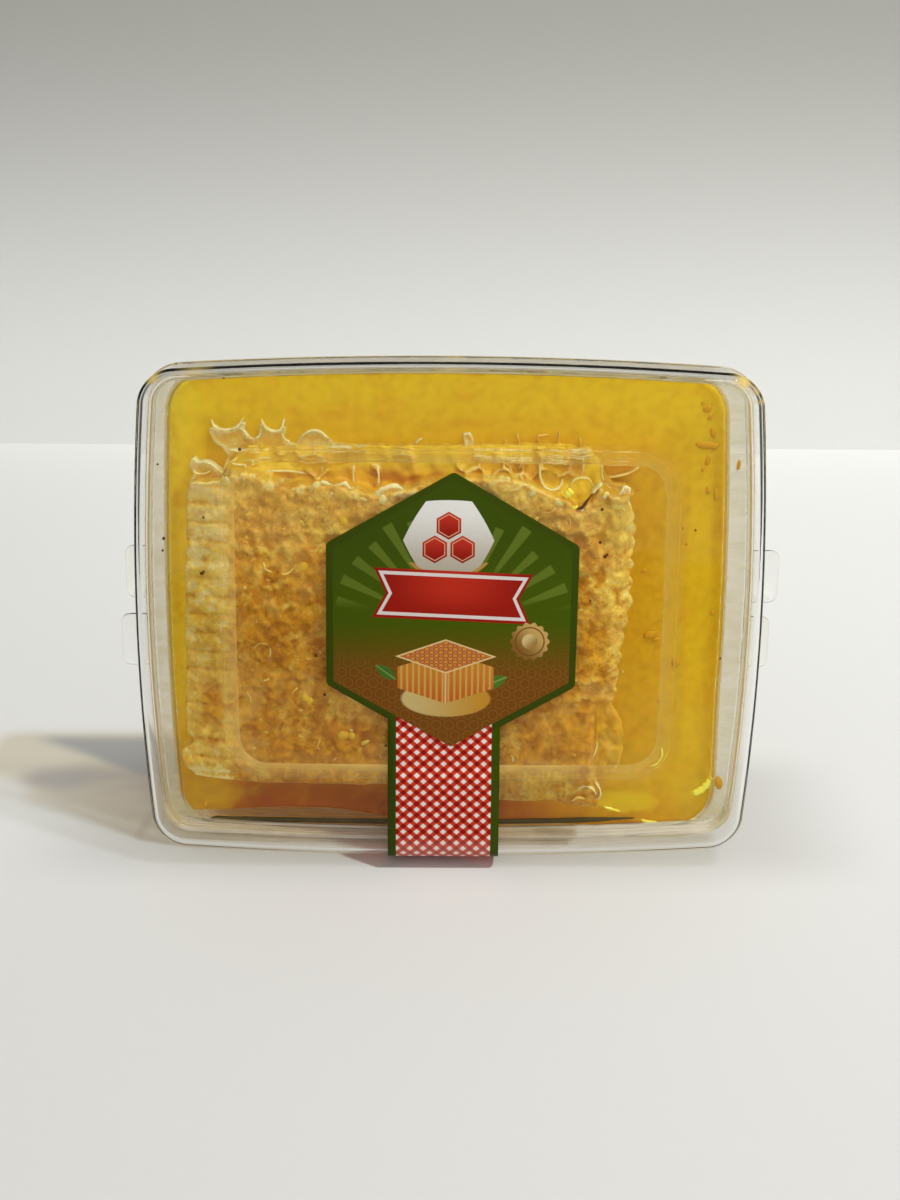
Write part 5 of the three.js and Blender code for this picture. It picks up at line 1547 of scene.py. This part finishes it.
def make_drops(mat):
    parts = []
    spots = [(303, 567, 1.25), (310, 700, 0.9), (343, 734, 1.5), (352, 735, 0.9), (343, 521, 1.1), (321, 551, 0.7), (305, 697, 1.0), (262, 447, 0.8), (256, 461, 0.5)]
    for k, (px, py, r) in enumerate(spots):
        x, z = at(px, py, 2.9)
        parts.append(blob(x, 2.75 + r * 0.25, z, r, k + 3, 0.45, 12))
    V, F = join_parts(parts)
    return outward(make("honey_drops", V, F, [mat]))


def make_bead(mat):
    """A thin dark olive line along the tray's lower front edge."""
    pts = [(211, 817.6), (230, 818), (260, 818.4), (300, 819.2), (350, 820), (388, 820.6), (450, 821), (500, 821), (560, 820), (600, 818.6), (634, 817.4)]
    q = np.array([at(x, y, 14.7) for x, y in pts])
    s = np.linspace(0, 1, 90)
    path = np.stack([np.interp(s, np.linspace(0, 1, len(q)), q[:, 0]), np.interp(s, np.linspace(0, 1, len(q)), q[:, 1])], -1)
    for _ in range(6):
        path[1:-1] = 0.25 * path[:-2] + 0.5 * path[1:-1] + 0.25 * path[2:]
    V, F, m = [], [], 12
    for k, (x, z) in enumerate(path):
        end = min(1.0, math.sqrt((k + 0.3) / 3.0), math.sqrt((len(path) - 0.7 - k) / 14.0))
        r = 0.66 * end * (0.9 + 0.25 * float(noise(np.array(x * 0.25), np.array(0.5), 611)))
        for j in range(m):
            t = 2 * math.pi * j / m
            V.append((x, 14.7 + 0.7 * r * math.sin(t), z + r * math.cos(t)))
    n = len(path)
    for k in range(n - 1):
        for j in range(m):
            F.append((k * m + j, k * m + (j + 1) % m, (k + 1) * m + (j + 1) % m, (k + 1) * m + j))
    F += [tuple(range(m))[::-1], tuple(range((n - 1) * m, n * m))]
    return outward(make("dark_edge_line", np.array(V), F, [mat]))


def bead_material():
    g = Graph("dark_edge_line_tone")
    p = g.object_mm()
    col = g.mix(g.noise(p, 0.4, 3.0), (0.050, 0.038, 0.004), (0.105, 0.076, 0.008))
    s = g.principled(Base_Color=col, Roughness=0.25, Normal=g.bump(g.noise(p, 1.2, 2.0), 0.3, 0.0002))
    s.inputs["Specular IOR Level"].default_value = 0.2
    return g.surface(s.outputs[0])


def make_crumbs(mat):
    """Brownish crumbs of wax that lie in the honey at the right: centre, size in mm, how long, turn in degrees."""
    parts = []
    for k, (px, py, r, long, deg) in enumerate([
        (707, 409, 0.9, 1.2, 20), (703, 403, 0.5, 1.0, 0), (710, 417, 0.6, 1.4, 60), (713, 404, 0.3, 1.0, 0), (713, 433, 0.7, 2.0, 100),
        (706, 445, 1.0, 2.4, 0), (714, 446, 0.8, 1.3, 30), (699, 444, 0.7, 1.3, 0), (708, 460, 0.6, 2.2, 70), (703, 469, 0.45, 1.4, 80),
        (708, 490, 0.7, 1.5, 90), (716, 494, 0.6, 2.6, 92), (638, 489, 0.35, 1.0, 0), (682, 503, 0.35, 1.0, 0), (650, 634, 1.0, 1.8, 10),
        (656, 639, 0.6, 1.4, 0), (644, 570, 0.5, 1.5, 20), (660, 700, 0.5, 1.3, 40), (676, 662, 0.9, 1.3, 90), (712, 612, 0.5, 1.6, 80),
        (718, 782, 0.95, 2.1, 98), (738.5, 465, 0.48, 2.8, 84), (206, 803, 0.6, 1.6, 75),
    ]):
        y = 13.7 if k >= 20 else 15.05
        x, z = at(px, py, y)
        parts.append(blob(x, y, z, r, 900 + k, 0.35, 7, long, math.radians(deg)))
    V, F = join_parts(parts)
    return outward(make("wax_crumbs", V, F, [mat]))


def crumb_material():
    g = Graph("wax_crumb")
    p = g.object_mm()
    n = g.noise(p, 0.9, 3.0)
    s = g.principled(Base_Color=g.mix(n, (0.62, 0.27, 0.008), (0.78, 0.42, 0.012)), Roughness=0.4, Normal=g.bump(n, 0.3, 0.0003))
    s.inputs["Specular IOR Level"].default_value = 0.1
    return g.surface(s.outputs[0])


def make_glints(mat):
    """Painted highlights: bright yellow slips low on the right and in one cell, standing for light gathered by thick
    clear honey.
    """
    parts = []
    for k, (line, y, th, back) in enumerate([
        ([(689, 794), (696, 793), (703, 789), (708, 783), (711, 775)], 14.7, 1.5, 15.6),
        ([(636, 819), (648, 822), (664, 824), (682, 823), (702, 820)], 14.5, 0.8, 15.4),
        ([(601, 806), (612, 809), (622, 812)], 14.8, 0.5, 15.6),
        ([(662, 744), (663, 755), (658, 764), (648, 768)], 14.9, 0.4, 15.6),
        ([(565, 497), (569, 493), (572, 490)], 2.7, 1.6, 3.4),
        ([(571, 507), (575, 508), (578, 506)], 2.7, 0.6, 3.4),
    ]):
        pts = np.array([at(x, z, y) for x, z in line])
        q = np.linspace(0, len(pts) - 1, 6 * len(pts))
        i = np.minimum(q.astype(int), len(pts) - 2)
        path = pts[i] * (1 - (q - i)[:, None]) + pts[i + 1] * (q - i)[:, None]
        for _ in range(5):
            path[1:-1] = 0.25 * path[:-2] + 0.5 * path[1:-1] + 0.25 * path[2:]
        parts.append(ribbon(path, y, back, th, 700 + k, wave=0.1))
    V, F = join_parts(parts)
    return outward(make("honey_glints", V, F, [mat]))


def glint_material():
    g = Graph("honey_glint")
    n = g.noise(g.object_mm(), 0.8, 2.0)
    s = g.principled(Base_Color=g.mix(n, (1.0, 0.86, 0.02), (1.0, 0.96, 0.12)), Roughness=0.12, Normal=g.bump(n, 0.2, 0.0002))
    return g.surface(g.lit_through(s.outputs[0], (0.95, 0.9, 0.6)))


def drop_material():
    g = Graph("honey_drop")
    p = g.object_mm()
    n = g.noise(p, 0.5, 2.0)
    bump = g.bump(g.noise(p, 0.8, 2.0), 0.2, 0.0003)
    glass = g.node("ShaderNodeBsdfGlass")
    g.put(glass.inputs["Color"], g.mix(n, (0.95, 0.72, 0.10), (1.0, 0.85, 0.22)))
    glass.inputs["IOR"].default_value = 1.45
    g.put(glass.inputs["Roughness"], 0.02)
    g.put(glass.inputs["Normal"], bump)
    body = g.principled(Base_Color=g.mix(n, (0.78, 0.50, 0.012), (0.95, 0.74, 0.04)), Roughness=0.08, Normal=bump)
    body.inputs["Specular IOR Level"].default_value = 0.5
    mixed = g.shader_mix(0.55, glass.outputs[0], body.outputs[0])
    through = g.node("ShaderNodeBsdfTransparent")
    g.put(through.inputs["Color"], (0.95, 0.85, 0.5))
    return g.surface(g.shader_mix(g.lamp_ray(), mixed, through.outputs[0]))


def make_specks(mat):
    parts = []
    # painted shade: the row of specks from (577.5, 508.3) to (592, 494) draws the dark rim along the lower right of a
    # honey drop
    spots = [
        (240, 449, 0.55, 3.2), (202, 573, 0.6, 4.2), (204, 517, 0.45, 4.4), (316, 655, 0.5, 3.0), (577.5, 508.3, 0.5, 3.0), (579.5, 508.0, 0.54, 3.0), (581.4, 507.4, 0.54, 3.0), (583.0, 506.0, 0.5, 3.0), (584.4, 504.2, 0.5, 3.0), (585.6, 502.4, 0.54, 3.0), (586.8, 500.6, 0.45, 3.0), (588.0, 498.9, 0.4, 3.0), (589.3, 497.3, 0.36, 3.0), (590.6, 495.6, 0.32, 3.0), (592.0, 494.0, 0.28, 3.0), (602, 509, 0.5, 3.0),
        (600, 542, 0.5, 3.0), (605, 556, 0.6, 3.2), (613, 610, 0.5, 3.4), (600, 665, 0.6, 3.2), (325, 694, 0.5, 3.0), (353, 725, 0.45, 3.0), (386, 745, 0.4, 3.0),
        (224, 377, 0.4, 12.0), (158, 464, 0.4, 9.0), (164, 538, 0.5, 9.0), (163, 550, 0.4, 9.0), (720, 658, 0.35, 9.0), (682, 528, 0.35, 14.9), (695, 530, 0.4, 14.9), (686, 544, 0.3, 14.9),
        (588, 735, 0.7, 3.4), (590, 600, 0.35, 3.2), (340, 680, 0.35, 3.0), (521, 740, 0.4, 3.0), (529, 689, 0.4, 3.0),
    ]
    for k, (px, py, r, y) in enumerate(spots):
        x, z = at(px, py, y)
        parts.append(blob(x, y - 0.1, z, r * 0.8, k + 40, 0.35, 5))
        if r > 0.55:
            parts.append(blob(x + r * 0.8, y - 0.1, z + r * 0.7, r * 0.5, k + 70, 0.35, 5))
    V, F = join_parts(parts)
    return outward(make("specks", V, F, [mat]))


def speck_material():
    g = Graph("speck")
    p = g.object_mm()
    col = g.mix(g.noise(p, 1.5, 3.0), (0.05, 0.014, 0.004), (0.19, 0.06, 0.012))
    s = g.principled(Base_Color=col, Roughness=0.5, Normal=g.bump(g.noise(p, 3.0, 2.0), 0.4, 0.0002))
    s.inputs["Specular IOR Level"].default_value = 0.06
    return g.surface(s.outputs[0])


# ------------------------------------------------------------------ build
lid_mat = clear_plastic("lid_plastic", (0.99, 0.99, 0.985), (0.95, 0.948, 0.935), (0.98, 0.75, 0.25))
tray_mat = clear_plastic("tray_plastic", (0.99, 0.985, 0.965), (0.965, 0.96, 0.94), (0.82, 0.735, 0.47))
wax_mat = comb_material("comb_wax", (0.54, 0.20, 0.004), (0.86, 0.43, 0.014), (0.96, 0.62, 0.055), (0.99, 0.80, 0.20), (0.82, 0.38, 0.004))
scrap_mat = comb_material("wax_scraps", (0.88, 0.58, 0.07), (0.92, 0.66, 0.13), (0.98, 0.81, 0.29), (1.0, 0.93, 0.54), (0.88, 0.50, 0.02))
honey_mat = honey_material()

pieces = {
    "lid": (make_lid(lid_mat), "lid_plastic"),
    "tray": (make_tray(tray_mat), "tray_plastic"),
    "label": (make_label(label_material()), "label_print"),
    "back_label": (make_back_label(back_label_material()), "back_label_print"),
    "honey": (make_honey(honey_mat), "honey"),
    "comb": (make_comb(wax_mat), "comb_wax"),
}
for node, (ob, slot) in pieces.items():
    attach(ob, "root")
    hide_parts(node)
for ob, slot in (
    (make_torn_cells(scrap_mat), "comb_wax"),
    (make_drops(drop_material()), "honey"),
    (make_specks(speck_material()), "comb_wax"),
    (make_bead(bead_material()), "honey"),
    (make_crumbs(crumb_material()), "comb_wax"),
    (make_glints(glint_material()), "honey"),
):
    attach(ob, "root")

# ------------------------------------------------------------------ stage
def floor_material(name, low, high, z0, z1, axis=2):
    g = Graph(name)
    n = g.node("ShaderNodeTexCoord")
    p = Sock(g, n.outputs["Object"])
    grain = g.noise(p, 260.0, 4.0, 0.6)
    tone = g.mix(g.ramp01(g.xyz(p)[axis], z0, z1), low, high)
    if axis == 1:  # the table in front of the picture is darker, so that the lid mirrors less of it
        tone = g.mix(g.ramp01(g.xyz(p)[1], -0.16, -0.55), tone, (0.20, 0.20, 0.195))
        # painted shadow: a darker strip on the floor under and around the pack's front edge
        dip = g.ramp01(g.ab(g.xyz(p)[1] - 0.004), 0.042, 0.018) * g.ramp01(g.ab(g.xyz(p)[0]), 0.120, 0.080)
        tone = g.mix(dip * 0.5, tone, (0.50, 0.495, 0.475))
    col = g.blend("MULTIPLY", 1.0, tone, g.mix(grain, (0.985, 0.985, 0.985), (1.0, 1.0, 1.0)))
    s = g.principled(Base_Color=col, Roughness=0.7, Normal=g.bump(grain, 0.05, 0.0002))
    s.inputs["Specular IOR Level"].default_value = 0.15
    return g.surface(s.outputs[0])


BACK_WALL, WIDE = 0.373, 0.40
floor = make("floor", [(-WIDE, -1.2, 0), (WIDE, -1.2, 0), (WIDE, BACK_WALL, 0), (-WIDE, BACK_WALL, 0)], [(0, 1, 2, 3)], [floor_material("floor", (0.755, 0.76, 0.745), (0.845, 0.85, 0.835), -0.15, 0.28, 1)], smooth=False, world=True)
# painted shade: the backdrop's colour darkens upwards, where less light reaches it
wall = make("backdrop", [(-WIDE, BACK_WALL, 0), (WIDE, BACK_WALL, 0), (WIDE, BACK_WALL, 0.7), (-WIDE, BACK_WALL, 0.7)], [(0, 1, 2, 3)], [floor_material("backdrop", (0.81, 0.815, 0.795), (0.37, 0.365, 0.34), 0.02, 0.23)], smooth=False, world=True)

# ------------------------------------------------------------------ light and camera
scene = bpy.context.scene
scene.view_settings.view_transform = "Standard"
scene.view_settings.look = "None"
scene.cycles.transparent_max_bounces = 18
scene.cycles.max_bounces = 12
scene.cycles.transmission_bounces = 12
scene.cycles.glossy_bounces = 4
scene.cycles.diffuse_bounces = 3
scene.cycles.caustics_refractive = False
scene.cycles.caustics_reflective = False

world = bpy.data.worlds.new("soft_studio")
scene.world = world
world.use_nodes = True
wt = world.node_tree
wt.nodes.clear()
wo = wt.nodes.new("ShaderNodeOutputWorld")
wb = wt.nodes.new("ShaderNodeBackground")
wc = wt.nodes.new("ShaderNodeTexCoord")
ws = wt.nodes.new("ShaderNodeSeparateXYZ")
wr = wt.nodes.new("ShaderNodeValToRGB")
wt.links.new(wc.outputs["Generated"], ws.inputs[0])
wf = wt.nodes.new("ShaderNodeMapRange")
wf.interpolation_type = "SMOOTHSTEP"
wt.links.new(ws.outputs["Y"], wf.inputs["Value"])
wf.inputs["From Min"].default_value, wf.inputs["From Max"].default_value = 0.15, -0.75
wt.links.new(wf.outputs["Result"], wr.inputs[0])
wr.color_ramp.elements[0].position, wr.color_ramp.elements[0].color = 0.0, (0.20, 0.20, 0.20, 1)
wr.color_ramp.elements[1].position, wr.color_ramp.elements[1].color = 1.0, (0.74, 0.74, 0.735, 1)
wa = wt.nodes.new("ShaderNodeMath")
wa.operation = "ABSOLUTE"
wt.links.new(ws.outputs["X"], wa.inputs[0])
wm = wt.nodes.new("ShaderNodeMapRange")
wm.interpolation_type = "SMOOTHSTEP"
wt.links.new(wa.outputs[0], wm.inputs["Value"])
wm.inputs["From Min"].default_value, wm.inputs["From Max"].default_value = 0.80, 0.96
wm.inputs["To Min"].default_value, wm.inputs["To Max"].default_value = 1.0, 0.25
wx = wt.nodes.new("ShaderNodeMix")
wx.data_type, wx.blend_type = "RGBA", "MULTIPLY"
wx.inputs[0].default_value = 1.0
wt.links.new(wr.outputs[0], wx.inputs[6])
wt.links.new(wm.outputs["Result"], wx.inputs[7])
wt.links.new(wx.outputs[2], wb.inputs["Color"])
wb.inputs["Strength"].default_value = 1.0
wt.links.new(wb.outputs[0], wo.inputs["Surface"])


def lamp(name, place, target, size, power, colour=(1, 1, 1)):
    d = bpy.data.lights.new(name, "AREA")
    d.shape = "DISK"
    d.size, d.energy, d.color = size, power, colour
    o = bpy.data.objects.new(name, d)
    o.location = place
    o.rotation_mode = "QUATERNION"
    o.rotation_quaternion = (Vector(target) - Vector(place)).to_track_quat("-Z", "Y")
    scene.collection.objects.link(o)
    return o


lamp("key", (0.48, -0.19, 1.06), (0.0, 0.0, 0.0), 0.066, 8.6, (1.0, 0.985, 0.95))
lamp("back_fill", (0.0, 0.20, 0.55), (0.0, 0.37, 0.0), 0.45, 0.22, (1.0, 1.0, 0.99))

cam_data = bpy.data.cameras.new("camera")
cam = bpy.data.objects.new("camera", cam_data)
scene.collection.objects.link(cam)
cam_data.sensor_width, cam_data.lens = 36.0, 45.0
cam_data.clip_start, cam_data.clip_end = 0.01, 20.0
R, U, Fw = turn(CAM_R), turn(CAM_U), turn(CAM_F)
m = Matrix(((R.x, U.x, -Fw.x), (R.y, U.y, -Fw.y), (R.z, U.z, -Fw.z))).to_4x4()
m.translation = Vector(W(CAM_P).tolist())
cam.matrix_world = m
scene.camera = cam

bpy.context.view_layer.update()
